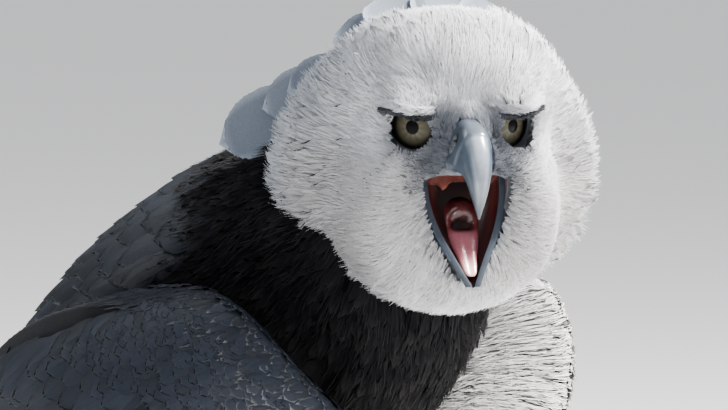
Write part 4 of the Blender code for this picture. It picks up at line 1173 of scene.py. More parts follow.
def make_tongue():
    rows, count = 60, 40
    stations = between(TONGUE, rows)
    slope = np.gradient(stations[:, 1]) / np.gradient(stations[:, 0])
    rise = np.arctan(slope)
    turn = circle(count)
    share = np.linspace(0, 1, rows)[:, None]
    rounding = np.sin(np.pi * share) ** 0.1
    blunt = np.sqrt(np.clip(1 - ((share - TONGUE_BLUNT) / 0.08) ** 2, 0.02, 1))
    slim = 1 + 0.16 * np.exp(-(((share - MOUND - 0.06) / 0.10) ** 2)) - 0.26 * ramp(share, 0.56, 0.80)
    left = stations[:, 2:3] * np.cos(turn) * np.where(share > TONGUE_BLUNT, blunt, 1) * slim
    high = stations[:, 3:4] * np.sin(turn)
    top = np.sin(turn) > 0
    groove = GROOVE_DEPTH * np.exp(-((left / 0.0020) ** 2)) * top * ramp(share, 0.55, 0.7)
    mound = MOUND_HIGH * np.exp(-(((share - MOUND) / 0.070) ** 2) - (left / 0.0085) ** 2) * top
    hole = np.exp(-((left / 0.0062) ** 4) - ((share - HOLE) / 0.042) ** 2) * top
    high = (high - groove + mound * np.clip(np.sin(turn), 0, 1) - HOLE_DEPTH * hole) * rounding
    local = np.stack([
        stations[:, 0:1] - np.sin(rise)[:, None] * high,
        left,
        stations[:, 1:2] + np.cos(rise)[:, None] * high,
    ], -1)
    obj = loft("tongue_flesh", head_xyz(local), FLESH)
    shape = (rows, count)
    k = loft_values(share, shape, 0, 1)
    dark = loft_values(hole, shape, 0, 0)
    edge = loft_values(np.abs(np.cos(turn)), shape, 0, 0)
    paint(obj, layered(
        TONGUE_BACK,
        (TONGUE_FRONT, ramp(k, HOLE + 0.03, HOLE + 0.09)),
        (TONGUE_TIP, 0.85 * ramp(k, 0.72, 0.92)),
        (TONGUE_EDGE, 0.30 * ramp(edge, 0.5, 1.0)),
        (WINDPIPE_SHADE, np.clip(dark * 1.5, 0, 1)),
        (GULLET_SHADE, ramp(k, MOUND - 0.02, MOUND - 0.10)),
    ))
    return finished(obj, "tongue", "tongue")


PALATE_HALF = 0.0228  # half its width
PALATE_TOP = row(0.0130, -0.0240)  # where it leaves the mouth's roof, forward and up
PALATE_LIP = 0.0045  # how far forward the palate's hind edge hangs
CUSP = 0.0104  # how far from the middle each cusp is
CUSP_WIDE, CUSP_LONG = 0.0030, 0.0052
ARCH_UP, ARCH_RISE = -0.0333, 0.0115  # the arch's height at its middle, and how far its ends hang below
PALATE_THICK, PALATE_BULGE = 0.0016, 0.004
PALATE_FINE = 0.0003  # depth of its fine ridges
PALATE_DARK, PALATE_LIGHT, CUSP_RED = (
    row(0.085, 0.024, 0.020), row(0.150, 0.048, 0.038), row(0.34, 0.13, 0.10)
)


def make_palate():
    """The hind part of the palate, which hangs down as an arch with two cusps over the throat."""
    rows, count = 64, 28
    across = np.linspace(-1, 1, rows)[:, None]
    left = PALATE_HALF * across
    cusp = np.exp(-(((np.abs(left) - CUSP) / CUSP_WIDE) ** 2))
    low = ARCH_UP - ARCH_RISE * np.abs(across) ** 4 - CUSP_LONG * cusp
    turn = np.linspace(0, 2 * np.pi, count, endpoint=False)[None, :]
    down = (1 - np.cos(turn)) / 2
    thick = PALATE_THICK * np.sin(turn) * (0.4 + 0.6 * down)
    forward = PALATE_TOP[0] + (PALATE_LIP - PALATE_TOP[0]) * down**0.8 + thick - PALATE_BULGE * across**2
    up = PALATE_TOP[1] + (low - PALATE_TOP[1]) * down + PALATE_FINE * np.sin(left * 2400) * down
    local = np.stack([forward, left + 0 * down, up], -1)
    obj = loft("palate_flesh", head_xyz(local), FLESH)
    shade = loft_values(down, (rows, count), 0.5, 0.5)
    edge = loft_values(cusp * ramp(down, 0.6, 0.9), (rows, count), 0, 0)
    paint(obj, layered(PALATE_DARK, (PALATE_LIGHT, shade), (CUSP_RED, 0.7 * edge)))
    return finished(obj, "tongue")


IRIS = 0.0121  # radius of the coloured ring, over the ball
PUPIL = 0.0043
IRIS_DARK, IRIS_PALE = row(0.095, 0.088, 0.062), row(0.170, 0.158, 0.116)
IRIS_RIM, PUPIL_DARK = row(0.050, 0.046, 0.036), row(0.002, 0.002, 0.003)
EYE_WHITE, EYE_BEHIND = row(0.022, 0.020, 0.019), row(0.02, 0.02, 0.02)
BALL_WIDE, BALL_DEEP = 0.0150, 0.0200  # half width, and how far it reaches back
BALL_FRONT, BALL_ROUND = 0.0178, 0.030  # how far the front stands before the centre, and its rounding


def eye_front(far):
    """How far before its centre the eye's front lies, at a distance from its axis."""
    return BALL_FRONT - far**2 / (2 * BALL_ROUND)


def make_eye(label):
    """A glossy ball with a broad cornea, and the iris and pupil as painted rings."""
    centre, look, across, up = eye_axes(SIDES[label])
    look = unit(look + up * math.tan(GAZE_UP))
    across = unit(across - look * (across @ look))
    up = np.cross(look, across)
    rows, count = 70, 64
    turn = np.linspace(0.001, np.pi, rows)[:, None]
    about = circle(count)[None, :]
    away = BALL_WIDE * np.sin(turn)
    reach = eye_front(away) + np.minimum(np.cos(turn), 0) * BALL_DEEP
    out = np.cos(about)[..., None] * across + np.sin(about)[..., None] * up
    local = centre + reach[..., None] * look + away[..., None] * out
    obj = loft("eyeball_" + label, head_xyz(local), EYE)
    far, front, spin = (v.ravel() for v in np.broadcast_arrays(away, np.cos(turn) > 0, about))
    streak = 0.5 + 0.25 * np.sin(spin * 31) + 0.25 * np.sin(spin * 53 + 2.0)
    colour = layered(
        IRIS_DARK,
        (IRIS_PALE, streak * ramp(far, IRIS, PUPIL)),
        (IRIS_RIM, ramp(far, IRIS * 0.84, IRIS * 0.98)),
        (EYE_WHITE, ramp(far, IRIS * 0.98, IRIS * 1.04)),
        (PUPIL_DARK, ramp(far, PUPIL * 1.10, PUPIL * 0.98)),
    )
    paint_loft(obj, np.where(front[:, None], colour, EYE_BEHIND))
    return finished(obj, "eye", "eye_" + label)


LID_THICK = 0.0017
LID_ROOM = 0.0001  # between the lid and the eye
LID_FOLD, LID_FOLDS = 0.0006, 14
LID_WIDE, LID_WIDE_TOP = 0.0015, 0.0020  # the dark rim's breadth at the sides and above; the broader band above is partly painted shade under the brow
LID_FALL, LID_FALL_OUT = 0.0050, 0.0045  # how far its edge falls back, and how much more at the outer corner
LID_INNER, LID_OUTER = row(0.010, 0.009, 0.011), row(0.020, 0.021, 0.025)


def make_lids(label):
    """The rolled rims of the lids, and the folds behind them, as one ring round the opening."""
    centre, look, across, up = eye_axes(SIDES[label])
    rows, count = 16, 72
    turn = circle(count)
    rings = []
    colours = []
    for k in range(rows):
        share = k / (rows - 1)
        grow = (LID_WIDE + (LID_WIDE_TOP - LID_WIDE) * np.clip(np.sin(turn), 0, 1)) * share**1.2
        wide, high = opening_point(turn, grow)
        far = np.hypot(wide, high)
        roll = math.sin(min(1.0, share * 5) * math.pi / 2)
        fold = LID_FOLD * math.sin(share * LID_FOLDS) * (1 - share)
        fall = LID_FALL + LID_FALL_OUT * np.clip(np.cos(turn), 0, 1)
        front = eye_front(far) + LID_ROOM + LID_THICK * roll + fold - fall * share**2
        rings.append(centre + front[:, None] * look + wide[:, None] * across + high[:, None] * up)
        dark = LID_INNER * (1 - share) + LID_OUTER * share
        colours.append(np.tile(dark, (count, 1)))
    obj = loft("lid_" + label, head_xyz(rings), LID, caps=False)
    paint(obj, np.vstack(colours))
    return finished(obj, "horn")


# The head's coat

GOLDEN_ANGLE = 2.399963
ROOT_JITTER = 0.30  # how far roots stray from an even pattern, as a share of their gap


def head_roots(count, low, high):
    """Evenly spread roots between two turns away from the bill, in degrees."""
    k = np.arange(count) + 0.5
    start, stop = math.cos(turned(low)), math.cos(turned(high))
    away = np.arccos(start + (stop - start) * k / count)
    about = (k * GOLDEN_ANGLE) % (2 * np.pi) - np.pi
    gap = 2.0 / math.sqrt(count)
    away = away + DRAW.normal(0, ROOT_JITTER * gap, count)
    about = about + DRAW.normal(0, ROOT_JITTER * gap, count) / np.sin(away).clip(0.15)
    return away, about


def room_to_eye(local):
    """How long a feather may be before it reaches over the open lids, from its inner side."""
    room = np.full(len(local), 1.0)
    for side in (1, -1):
        x, z, ahead = by_eye(local, side)
        far = np.sqrt((x / 0.0150) ** 2 + (z / 0.0110) ** 2)
        inner = ((x < 0.004) | (z > 0.004)) & (ahead > 0) & (far < 2.6)
        room = np.where(inner, np.minimum(room, 0.0012 + 0.0085 * np.clip(far - 1, 0, 2)), room)
    return room


def roots_at(local):
    """The two turns of the head's surface whose rays pass through given places."""
    way = unit(local - HEART)
    return np.arccos(way[..., 0]), np.arctan2(way[..., 1], way[..., 2])


def eye_turn(local):
    """How far the lie turns to pass round the eyes instead of over them."""
    turn = np.zeros(len(local))
    for side in (1, -1):
        centre = eye_axes(side)[0]
        offset = local - centre
        near = np.linalg.norm(offset[:, 1:], axis=1)
        above = np.sign(offset[:, 2] + 0.002)
        turn += -side * above * 0.55 * ramp(near, 0.028, 0.014) * (offset[:, 0] > -0.02)
    return turn


def in_trunk(p, by):
    """True where a point lies inside the trunk by some depth."""
    along = (p - BODY_START) @ BODY_BACK
    rise, _, width, above, below = trunk_at(along)
    x = p[:, 0] - BODY_START[0] - neck_lean(along)
    z = (p - BODY_START) @ BODY_UP - rise
    tall = np.where(z > 0, above, below)
    return (along > TRUNK[0, 0]) & ((x / (width - by)) ** 2 + (z / (tall - by)) ** 2 < 1)


FACE_TIPS = row(0.50, 0.515, 0.55), row(0.84, 0.84, 0.84)
FACE_ROOTS = row(0.26, 0.27, 0.295), row(0.42, 0.43, 0.46)
# painted light: the crown's feathers whiter on top
CROWN_LIT_TIP = row(0.82, 0.825, 0.84)
SHADED_SIDE_TIP = row(0.36, 0.38, 0.43)  # painted shade on the head's right side
CHEEK_TIP = row(0.46, 0.435, 0.415)
EYE_TIP = row(0.26, 0.27, 0.30)
LORE_TIP, LORE_ROOT = row(0.145, 0.160, 0.190), row(0.055, 0.060, 0.072)
PARTING_SHADE_TIP = row(0.13, 0.145, 0.17)
PARTING = (row(-0.045, -0.073, 0.016), row(-0.066, -0.058, 0.050))  # painted shade: a dark line along a parting beside the crown
PARTING_LENGTH = np.linalg.norm(PARTING[1] - PARTING[0])
PARTING_WAY = (PARTING[1] - PARTING[0]) / PARTING_LENGTH


def waves(p, size, seed):
    """A smooth value from about -1 to 1 that wanders over the given distance."""
    draw = np.random.default_rng(seed)
    ways, starts = unit(draw.normal(0, 1, (5, 3))), draw.uniform(0, 2 * np.pi, 5)
    total = 0
    for k in range(5):
        total = total + np.sin(p @ ways[k] * (2 * np.pi / size * (0.8 + 0.2 * k)) + starts[k])
    return total / 2.6


def face_colour(p, u, t, tint):
    """White to blue-grey feathers, darker at the root, round the eye and by the gape, with painted light on the
    crown and painted shade over the right side and along the parting.
    """
    local = head_local(p)
    forward, left, up = local[..., 0], local[..., 1], local[..., 2]
    # painted light whitens the crown
    tip = layered(mix(*FACE_TIPS, tint), (CROWN_LIT_TIP, 0.4 * ramp(up, -0.005, 0.035)))
    tip = tip * (1 + 0.09 * waves(p, 0.030, 31))[..., None]
    cheek = ramp(up, -0.005, -0.035) * ramp(forward, -0.055, -0.02) * ramp(up, -0.110, -0.080)
    eye = 0
    for side in (1, -1):
        centre = eye_axes(side)[0]
        near = np.sqrt(((left - centre[1]) / 1.25) ** 2 + (up - centre[2] + 0.002) ** 2)
        eye = np.maximum(eye, ramp(near, 0.024, 0.013) * (forward > -0.03))
    lore = ramp(forward, -0.004, 0.006) * ramp(up, 0.010, 0.000) * ramp(up, -0.034, -0.026)
    lore = np.maximum(lore, ramp(forward, 0.006, 0.014) * ramp(up, 0.016, 0.008) * ramp(up, -0.034, -0.026))
    lore = lore * ramp(np.abs(left), 0.036, 0.017)
    along = np.clip(((local - PARTING[0]) @ PARTING_WAY) / PARTING_LENGTH, 0, 1)
    far = np.linalg.norm(local - PARTING[0] - along[..., None] * PARTING_LENGTH * PARTING_WAY, axis=-1)
    tip = layered(
        tip,
        # painted shade over the head's right side
        (SHADED_SIDE_TIP, 0.60 * ramp(left, -0.025, -0.085)),
        (CHEEK_TIP, 0.50 * cheek),
        (EYE_TIP, 0.50 * eye),
        (LORE_TIP, 0.85 * lore),
        # painted shade along the parting
        (PARTING_SHADE_TIP, 0.75 * ramp(far, 0.0085, 0.0025)),
    )
    root = layered(mix(*FACE_ROOTS, tint), (LORE_ROOT, np.maximum(lore, 0.5 * eye)))
    return mix(root, tip, ramp(u, 0.0, 0.60) * (0.80 + 0.20 * tint))


def rim_colour(p, u, t, tint):
    """Grey feathers by the lids and the mouth."""
    return mix(face_colour(p, u, t, tint), row(0.16, 0.17, 0.19), 0.62 - 0.35 * tint)


FACE_ZONES = (
    # low and high turn away from the bill, count, lengths, half width, heights, barbs, half width of a barb
    (6, 34, 2800, (0.0044, 0.0120), 0.0012, (-0.0024, 0.0000, 0.0001), 6, 0.00020),
    (30, 62, 3200, (0.0150, 0.0275), 0.0024, (-0.0040, 0.0002, 0.0008), 8, 0.00022),
    (58, 92, 2800, (0.0290, 0.0380), 0.0038, (-0.0052, 0.0004, 0.0024), 10, 0.00026),
    (88, 128, 1400, (0.0360, 0.0380), 0.0054, (-0.0060, 0.0008, 0.0034), 10, 0.00034),
)
FACE_DEPTH, RUFF_DEPTH = 0.012, 0.020  # how deep in the trunk their roots may lie
RIM_BROAD = 0.0045  # by the lids and the bill feathers are shorter and lie flat
RIM_TURNS, RIM_COUNT = (6, 66), 9000  # where fine feathers at the bare skin's edge are tried
RIM_OUT = 0.0050  # how far from the bare skin they may start


def lay_face():
    """Soft feathers over the whole head, longer away from the bill."""
    batches = []
    for low, high, count, length, half, lifts, blades, thick in FACE_ZONES:
        away, about = head_roots(count, low, high)
        p = head_surface(away, about)
        local = head_local(p)
        keep = ~bare(local) & ~in_trunk(p, FACE_DEPTH)
        away, about, local, p = away[keep], about[keep], local[keep], p[keep]
        share = (np.degrees(away) - low) / (high - low)
        size = (length[0] + (length[1] - length[0]) * share) * DRAW.uniform(0.82, 1.18, len(share))
        size = np.minimum(size, room_to_eye(local))
        heading = eye_turn(local) + DRAW.normal(0, 0.05, len(size))
        heading = heading + 0.26 * waves(p, 0.050, 3) * ramp(share, -0.5, 1)
        clump = 0.30 * waves(p, 0.016, 5) * size * 0.10
        lift = uneven(lifts, 0.0002, len(size))
        lift[1], lift[2] = lift[1] + clump * 0.5, lift[2] + clump
        rim = bare(local, RIM_BROAD)
        lift[0] = np.where(rim, -0.0003, lift[0])
        lift[2] = np.where(rim, np.minimum(lift[2], 0.0004), lift[2])
        size = np.where(rim, size * 0.8, size)
        batches += soft(head_surface, -1, away, about, heading, size, half, lift, face_colour, blades, thick)
    away, about = head_roots(RIM_COUNT, *RIM_TURNS)
    local = head_local(head_surface(away, about))
    keep = bare(local, RIM_OUT) & ~bare(local)
    away, about, local = away[keep], about[keep], local[keep]
    size = np.minimum(DRAW.uniform(0.0050, 0.0085, len(away)), room_to_eye(local))
    heading = eye_turn(local) + DRAW.normal(0, 0.10, len(away))
    batches.append(tufts(head_surface, -1, away, about, heading, size, 0.0010, (-0.0004, 0.0005, 0.0006),
                         rim_colour, blades=5, thick=0.00017, stray=0.08))
    coats("face_feathers", batches, SOFT, "head_feather")


RUFF_STARTS = (62, 70, 78, 86, 94, 101)  # turns of its rows away from the bill, in degrees
RUFF_TURNS = (20, 170)  # ends of each row about it, on each side
RUFF_COUNT = 27
RUFF_HALF = 0.0080


def lay_ruff():
    """The ring of longer feathers behind the face, which stand a little away from the head."""
    batches = []
    for k, start in enumerate(RUFF_STARTS):
        for side in (1, -1):
            turn = np.linspace(*RUFF_TURNS, RUFF_COUNT) + DRAW.normal(0, 1.2, RUFF_COUNT) + 2.8 * (k % 2)
            away = np.radians(start + DRAW.normal(0, 1.0, RUFF_COUNT))
            about = side * np.radians(turn)
            p = head_surface(away, about)
            keep = ~bare(head_local(p)) & ~in_trunk(p, RUFF_DEPTH)
            away, about, p = away[keep], about[keep], p[keep]
            count = len(away)
            clump = waves(p, 0.034, 8)
            size = DRAW.uniform(0.029, 0.037, count) * (1 + 0.10 * clump)
            heading = DRAW.normal(0, 0.08, count) + 0.16 * waves(p, 0.040, 9)
            tip = 0.0072 + 0.0020 * clump + DRAW.normal(0, 0.0006, count) - 0.0006 * abs(k - 2)
            lift = [np.full(count, -0.0060), 0.0008 + 0.0010 * clump, tip]
            batches += soft(head_surface, -1, away, about, heading, size, RUFF_HALF, lift, face_colour,
                            22, 0.00026, rows=5, curl=0.06)
    coats("ruff_feathers", batches, SOFT, "head_feather")


CREST_ROOT = row(-0.085, 0.0, 0.030)
CREST_AT = 0.42  # share of the way from there to a tip, through which the feather leaves the head
CREST_DEEP, CREST_BEND = 0.010, 0.006  # how deep it is rooted, and how far its middle is raised
CREST = (
    # each feather's tip, forward, left and up, and its half width
    (-0.122, -0.088, -0.012, 0.0150), (-0.131, -0.102, -0.026, 0.0170), (-0.143, -0.127, -0.053, 0.0225),
    (-0.131, -0.057, 0.023, 0.0180), (-0.140, -0.026, 0.046, 0.0210), (-0.140, 0.014, 0.047, 0.0210),
    (-0.136, 0.052, 0.038, 0.0200), (-0.128, 0.083, 0.012, 0.0190), (-0.143, 0.090, -0.028, 0.0190),
)


def crest_surface(end):
    """One crest feather's plane, by the share of its length and the distance across."""
    way = unit(CREST_ROOT + (end - CREST_ROOT) * CREST_AT - HEART)
    away, about = math.acos(way[0]), math.atan2(way[1], way[2])
    reach = np.linalg.norm(head_local(head_surface(row(away), row(about))[0]) - HEART)
    root = HEART + way * (reach - CREST_DEEP)
    bend = (root + end) / 2 + way * CREST_BEND
    side = unit(np.cross(end - root, row(0.80, 0.0, 0.60)))

    def surface(share, across):
        u, w = share[..., None], across[..., None]
        return head_xyz(root * (1 - u) ** 2 + 2 * bend * u * (1 - u) + end * u**2 + side * w)

    return surface, 2 * np.linalg.norm(bend - root)


def crest_colour(p, u, w, tint):
    """Blue-grey, darker towards the middle, with a paler rim."""
    base = mix(row(0.180, 0.205, 0.250), row(0.250, 0.280, 0.330), tint)
    base = mix(base, row(0.080, 0.092, 0.120), 0.55 * ramp(1 - np.abs(w), 0.3, 0.9) * ramp(u, 0.70, 0.30))
    rim = np.maximum(ramp(u, 0.88, 1.0), 0.7 * ramp(np.abs(w), 0.65, 1.0))
    return mix(base, row(0.44, 0.48, 0.54), 0.7 * rim)


def lay_crest():
    """Broad soft feathers that stand up behind the crown."""
    batches, zero = [], row(0.0)
    for *tip, half in CREST:
        surface, length = crest_surface(row(*tip))
        batches.append(vanes(surface, 1, zero, zero, zero, row(length), half, (0.0, 0.0, 0.0), crest_colour,
                             shape="crest", rows=60, columns=33, camber=0.10, ragged=0.03))
    coats("crest_feathers", batches, SOFT, "head_feather")


BROW_LINE = (  # its height above the eye's centre, by the distance outwards
    (-0.0160, 0.0108), (-0.0100, 0.0117), (0.0000, 0.0124), (0.0100, 0.0121), (0.0190, 0.0108),
)
BROW_DARK_SHADE = (0.0000, 0.0007, 0.0014, 0.0022)  # rows of dark bristles, also painted shade under the brow, by their height over the line
BROW_PALE = ((0.0042, 0.0080, 0.0014), (0.0064, 0.0100, 0.0018))  # rows above: height, length, half width
BROW_COUNT = 46
BROW_OUT = 0.0190  # a first guess at how far the brow stands before the eye's centre


def roots_by_eye(side, x, z):
    """The two turns of the head's surface at places sideways and up of an eye."""
    centre, look, across, up = eye_axes(side)
    aimed = centre + look * BROW_OUT + x[..., None] * across + z[..., None] * up
    for _ in range(6):
        found = head_local(head_surface(*roots_at(aimed))) - centre
        aimed = aimed - (found @ across - x)[..., None] * across - (found @ up - z)[..., None] * up
    return roots_at(aimed)


def brow_surface(side):
    """A sheet just before the lids and the skin over them, by places sideways and up of an eye."""
    centre, look, across, up = eye_axes(side)

    def surface(x, z):
        found = head_local(head_surface(*roots_by_eye(side, x, z))) - centre
        front = np.maximum(found @ look, eye_front(np.hypot(x, z)) + LID_THICK)
        return head_xyz(centre + front[..., None] * look + x[..., None] * across + z[..., None] * up)

    return surface


# dark bristles, which also paint the shade under the brow ridge
def brow_bristle_shade_colour(p, u, t, tint):
    return mix(row(0.016, 0.016, 0.019), row(0.105, 0.110, 0.124), tint)


def lay_brows():
    """The stiff feathers of the ridge over each eye, and the dark bristles along its edge, which also stand for
    painted shade under the ridge.
    """
    white, dark = [], []
    for side in (1, -1):
        surface = brow_surface(side)
        x = np.linspace(BROW_LINE[0][0], BROW_LINE[-1][0] - 0.004, BROW_COUNT)
        heading = -0.12 * ramp(x, 0.0, 0.012)
        for rise in BROW_DARK_SHADE:
            z = read(BROW_LINE, x) + rise + DRAW.normal(0, 0.0002, BROW_COUNT)
            size = 0.0065 * DRAW.uniform(0.85, 1.15, BROW_COUNT)
            dark.append(tufts(surface, side, x, z, heading, size, 0.0006, (0.0000, 0.0010, 0.0012),
                              brow_bristle_shade_colour, blades=6, thick=0.00024, stray=0.03))
        for rise, length, half in BROW_PALE:
            z = read(BROW_LINE, x) + rise + DRAW.normal(0, 0.0003, BROW_COUNT)
            size = length * DRAW.uniform(0.85, 1.15, BROW_COUNT)
            lie = heading + DRAW.normal(0, 0.06, BROW_COUNT)
            white += soft(surface, side, x, z, lie, size, half, (-0.0010, 0.0004, 0.0007), face_colour,
                          7, 0.00020)
    coats("brow_feathers", white, SOFT, "head_feather")
    coats("brow_bristles_shade", dark, SOFT, "head_feather")


BILL_ROWS = 40


def bill_side(share, turn):
    """The upper bill's outside in its hind part, by the share of its length and the turn from its ridge."""
    stations = np.linspace(0, 1, BILL_ROWS)
    tables = [between(table, BILL_ROWS) for table in (CULMEN, CUTTING_EDGE, RIDGE_WIDTH, EDGE_WIDTH)]
    top, low, narrow, wide = (
        np.stack([np.interp(share, stations, column) for column in table.T], -1) for table in tables
    )
    rise = np.cos(turn)
    rise = np.where(rise < 0, -np.clip(-rise, 0, 1) ** 0.45, rise)
    width = narrow[..., 0] + (wide - narrow)[..., 0] * ((1 - rise) / 2) ** 2
    level = (top + low) / 2 + (top - low) / 2 * rise[..., None]
    left = np.copysign(np.abs(np.sin(turn)) ** 0.8, np.sin(turn)) * width
    return head_xyz(np.stack([level[..., 0], left, level[..., 1]], -1))


def gape_colour(p, u, t, tint):
    return mix(row(0.055, 0.062, 0.076), row(0.24, 0.26, 0.30), tint)


def lay_gape_bristles():
    """Fine bristles that run from the lores over the hind edge of the bill, above the mouth."""
    batches = []
    for side in (1, -1):
        a, b = scattered(900, (0.01, 0.33), np.radians((72, 140)))
        local = head_local(bill_side(a, side * b))
        keep = np.abs(local[:, 1]) > 0.0085 + DRAW.normal(0, 0.0008, len(a))
        a, b = a[keep], b[keep]
        size = DRAW.uniform(0.0030, 0.0055, len(a))
        heading = side * 0.5 + DRAW.normal(0, 0.25, len(a))
        batches.append(tufts(bill_side, side, a, side * b, heading, size, 0.0008, (-0.0002, 0.0007, 0.0012),
                             gape_colour, blades=3, thick=0.00018, stray=0.15, curl=0.1))
    coats("gape_bristles", batches, SOFT, "head_feather")


def bristle_colour(p, u, t, tint):
    return mix(row(0.030, 0.032, 0.038), row(0.17, 0.18, 0.20), tint)


LORES_TURNS = (6, 34)
LORES_COUNT = 5600


def lay_bristles():
    """Short dark bristles on the bare skin between the eye and the bill."""
    away = np.radians(DRAW.uniform(*LORES_TURNS, LORES_COUNT))
    about = DRAW.uniform(-np.pi, np.pi, LORES_COUNT)
    local = head_local(head_surface(away, about))
    forward, aside, up = local[:, 0], np.abs(local[:, 1]), local[:, 2]
    lores = (up > -0.034) & (up < 0.006) & (aside > 0.010) & (aside < 0.038) & (forward > -0.010)
    keep = lores & ~bare(local)
    away, about = away[keep], about[keep]
    size = np.minimum(DRAW.uniform(0.0024, 0.0052, len(away)), room_to_eye(local[keep]) + 0.0004)
    batch = tufts(head_surface, -1, away, about, DRAW.normal(0, 0.2, len(away)), size, 0.0007,
                  (-0.0012, 0.0005, 0.0010), bristle_colour, blades=2, thick=0.00011, stray=0.2, curl=0.2)
    coats("lore_bristles", [batch], SOFT, "head_feather")


# The neck's and the body's coat

def in_head(p, by):
    """True where a point lies in the head deeper than by."""
    local = head_local(p)
    near = np.linalg.norm(local - HEART, axis=1) < HEAD_NEAR
    found = np.zeros(len(p), bool)
    found[near] = head_field(local[near]) < -by
    return found


UNDER_ARM = 0.55  # how much of the arm's pad has to lie over a point


def under_wing(p):
    """True where the arm of a folded wing lies over a point of the trunk."""
    found = np.zeros(len(p), bool)
    for label, side in SIDES.items():
        out = p - BODY_START
        along = out @ BODY_BACK - WING_FORWARD[label]
        angle = np.arctan2(out @ BODY_UP, side * out[:, 0])
        found |= (wing_bulge(along, angle) > UNDER_ARM) & (side * out[:, 0] > 0)
    return found


def breast_colour(p, u, t, tint):
    """Black, with dark brown-grey tips."""
    base = mix(row(0.008, 0.008, 0.010), row(0.024, 0.024, 0.027), tint)
    return mix(base, row(0.052, 0.048, 0.047), ramp(u, 0.65, 1.0) * ramp(tint, 0.30, 0.9))


def belly_colour(p, u, t, tint):
    """White, greyer at the root."""
    white = mix(row(0.62, 0.61, 0.60), row(0.84, 0.83, 0.82), tint)
    return mix(row(0.36, 0.36, 0.37), white, ramp(u, 0.0, 0.5))


def back_colour(p, u, w, tint):
    """Slate black, with a thin paler fringe."""
    base = mix(row(0.006, 0.0075, 0.012), row(0.015, 0.020, 0.032), tint)
    fringe = ramp(u, 0.92, 1.0) * 0.6 + ramp(np.abs(w), 0.86, 1.0) * 0.4
    return mix(base, row(0.045, 0.050, 0.062), np.clip(fringe, 0, 1) * 0.4)


BREAST_SPAN, BREAST_COUNT = (-0.068, 0.135), 2900
BELLY_SPAN, BELLY_COUNT = (0.120, 0.415), 1600
BACK_SPAN, BACK_STEP = (0.024, 0.400), 0.019
BACK_APART, BACK_HALF = 0.0185, 0.0155
BACK_END = 0.445  # the tips of the last rows end here


def lay_breast():
    a, b = scattered(BREAST_COUNT, BREAST_SPAN, (0, 2 * np.pi))
    p = trunk_surface(a, b)
    low = np.sin(b) < 0.35
    keep = ~in_head(p, 0.004) & ~under_wing(p) & (low | (a < 0.060))
    a, b, p = a[keep], b[keep], p[keep]
    size = DRAW.uniform(0.026, 0.038, len(a))
    heading = DRAW.normal(0, 0.12, len(a)) + 0.22 * waves(p, 0.060, 21)
    clump = 0.0016 * waves(p, 0.030, 22)
    lift = [np.full(len(a), -0.006), 0.0010 + 0.5 * clump, 0.0040 + clump]
    batches = soft(trunk_surface, 1, a, b, heading, size, 0.0064, lift, breast_colour, 8, 0.00042)
    coats("breast_feathers", batches, SOFT, "slate_feather")


def lay_belly():
    a, b = scattered(BELLY_COUNT, BELLY_SPAN, (np.pi, 2 * np.pi))
    keep = ~under_wing(trunk_surface(a, b))
    a, b = a[keep], b[keep]
    size = DRAW.uniform(0.030, 0.042, len(a))
    heading = DRAW.normal(0, 0.15, len(a))
    batches = soft(trunk_surface, 1, a, b, heading, size, 0.0085, (-0.006, 0.0008, 0.0036), belly_colour,
                   8, 0.00060)
    coats("belly_feathers", batches, SOFT, "barred_feather")


def lay_back():
    """Rows of broad feathers over the mantle, the back and the rump, which overlap like tiles."""
    batches = []
    for k, along in enumerate(np.arange(*BACK_SPAN, BACK_STEP)):
        narrow = np.interp(along, TRUNK[:, 0], TRUNK[:, 3])
        low = -2 if along > 0.10 else 20
        apart = BACK_APART / (narrow + 0.006)
        angles = np.arange(turned(low), turned(180 - low), apart) + (k % 2) * apart / 2
        count = len(angles)
        length = DRAW.uniform(0.070, 0.086, count) * (1 + 0.25 * ramp(along, 0.15, 0.33))
        length = np.minimum(length, BACK_END - along)
        place = along + DRAW.normal(0, 0.0035, count)
        lift = uneven((-0.004, 0.0022, 0.0052), 0.0003, count)
        heading = (np.pi / 2 - angles) * 0.10 + DRAW.normal(0, 0.06, count)
        batches.append(vanes(trunk_surface, 1, place, angles, heading, length, BACK_HALF, lift, back_colour,
                             rows=12, columns=9, camber=0.14, ragged=0.05))
    coats("back_feathers", batches, VANE, "slate_feather")


# The wings

def wing_colour(pale):
    """Slate, with a blue-grey bloom, and a pale fringe as strong as pale says for each feather."""
    pale = np.asarray(pale)[..., None, None]

    def colour(p, u, w, tint):
        base = mix(row(0.006, 0.0075, 0.012), row(0.014, 0.019, 0.031), tint)
        base = mix(base, row(0.025, 0.034, 0.052), 0.5 * ramp(u, 0.3, 0.9) * (1 - np.abs(w)))
        fringe = np.clip(ramp(u, 0.93, 0.99) + 0.5 * ramp(np.abs(w), 0.86, 1.0) * ramp(u, 0.5, 0.9), 0, 1)
        return mix(base, row(0.42, 0.42, 0.44), fringe * (0.55 + 0.45 * tint) * pale)

    return colour


def quill_colour(p, u, w, tint):
    """Long feathers: slate with broad dark bars."""
    bar = 0.5 + 0.5 * np.sin(u * 26 + tint * 0.8)
    base = mix(row(0.009, 0.010, 0.014), row(0.024, 0.028, 0.037), ramp(bar, 0.35, 0.65))
    return mix(base, row(0.10, 0.10, 0.11), 0.4 * ramp(u, 0.96, 1.0))


def underwing_colour(p, u, w, tint):
    """White lining, with a few dark marks."""
    mark = ramp(tint, 0.90, 0.94) * ramp(u, 0.45, 0.6)
    white = mix(row(0.60, 0.59, 0.58), row(0.82, 0.81, 0.80), tint)
    return mix(white, row(0.05, 0.05, 0.06), 0.8 * mark)


SMALL_ROWS = 12
LARGE_ROWS = (
    # start, share of the slant, length, highest angle, count, half width
    (0.092, 0.78, 0.060, 9, 18, 0.0128), (0.106, 0.72, 0.066, 11, 17, 0.0132),
    (0.121, 0.66, 0.080, 13, 16, 0.0138), (0.138, 0.60, 0.106, 15, 15, 0.0146),
)


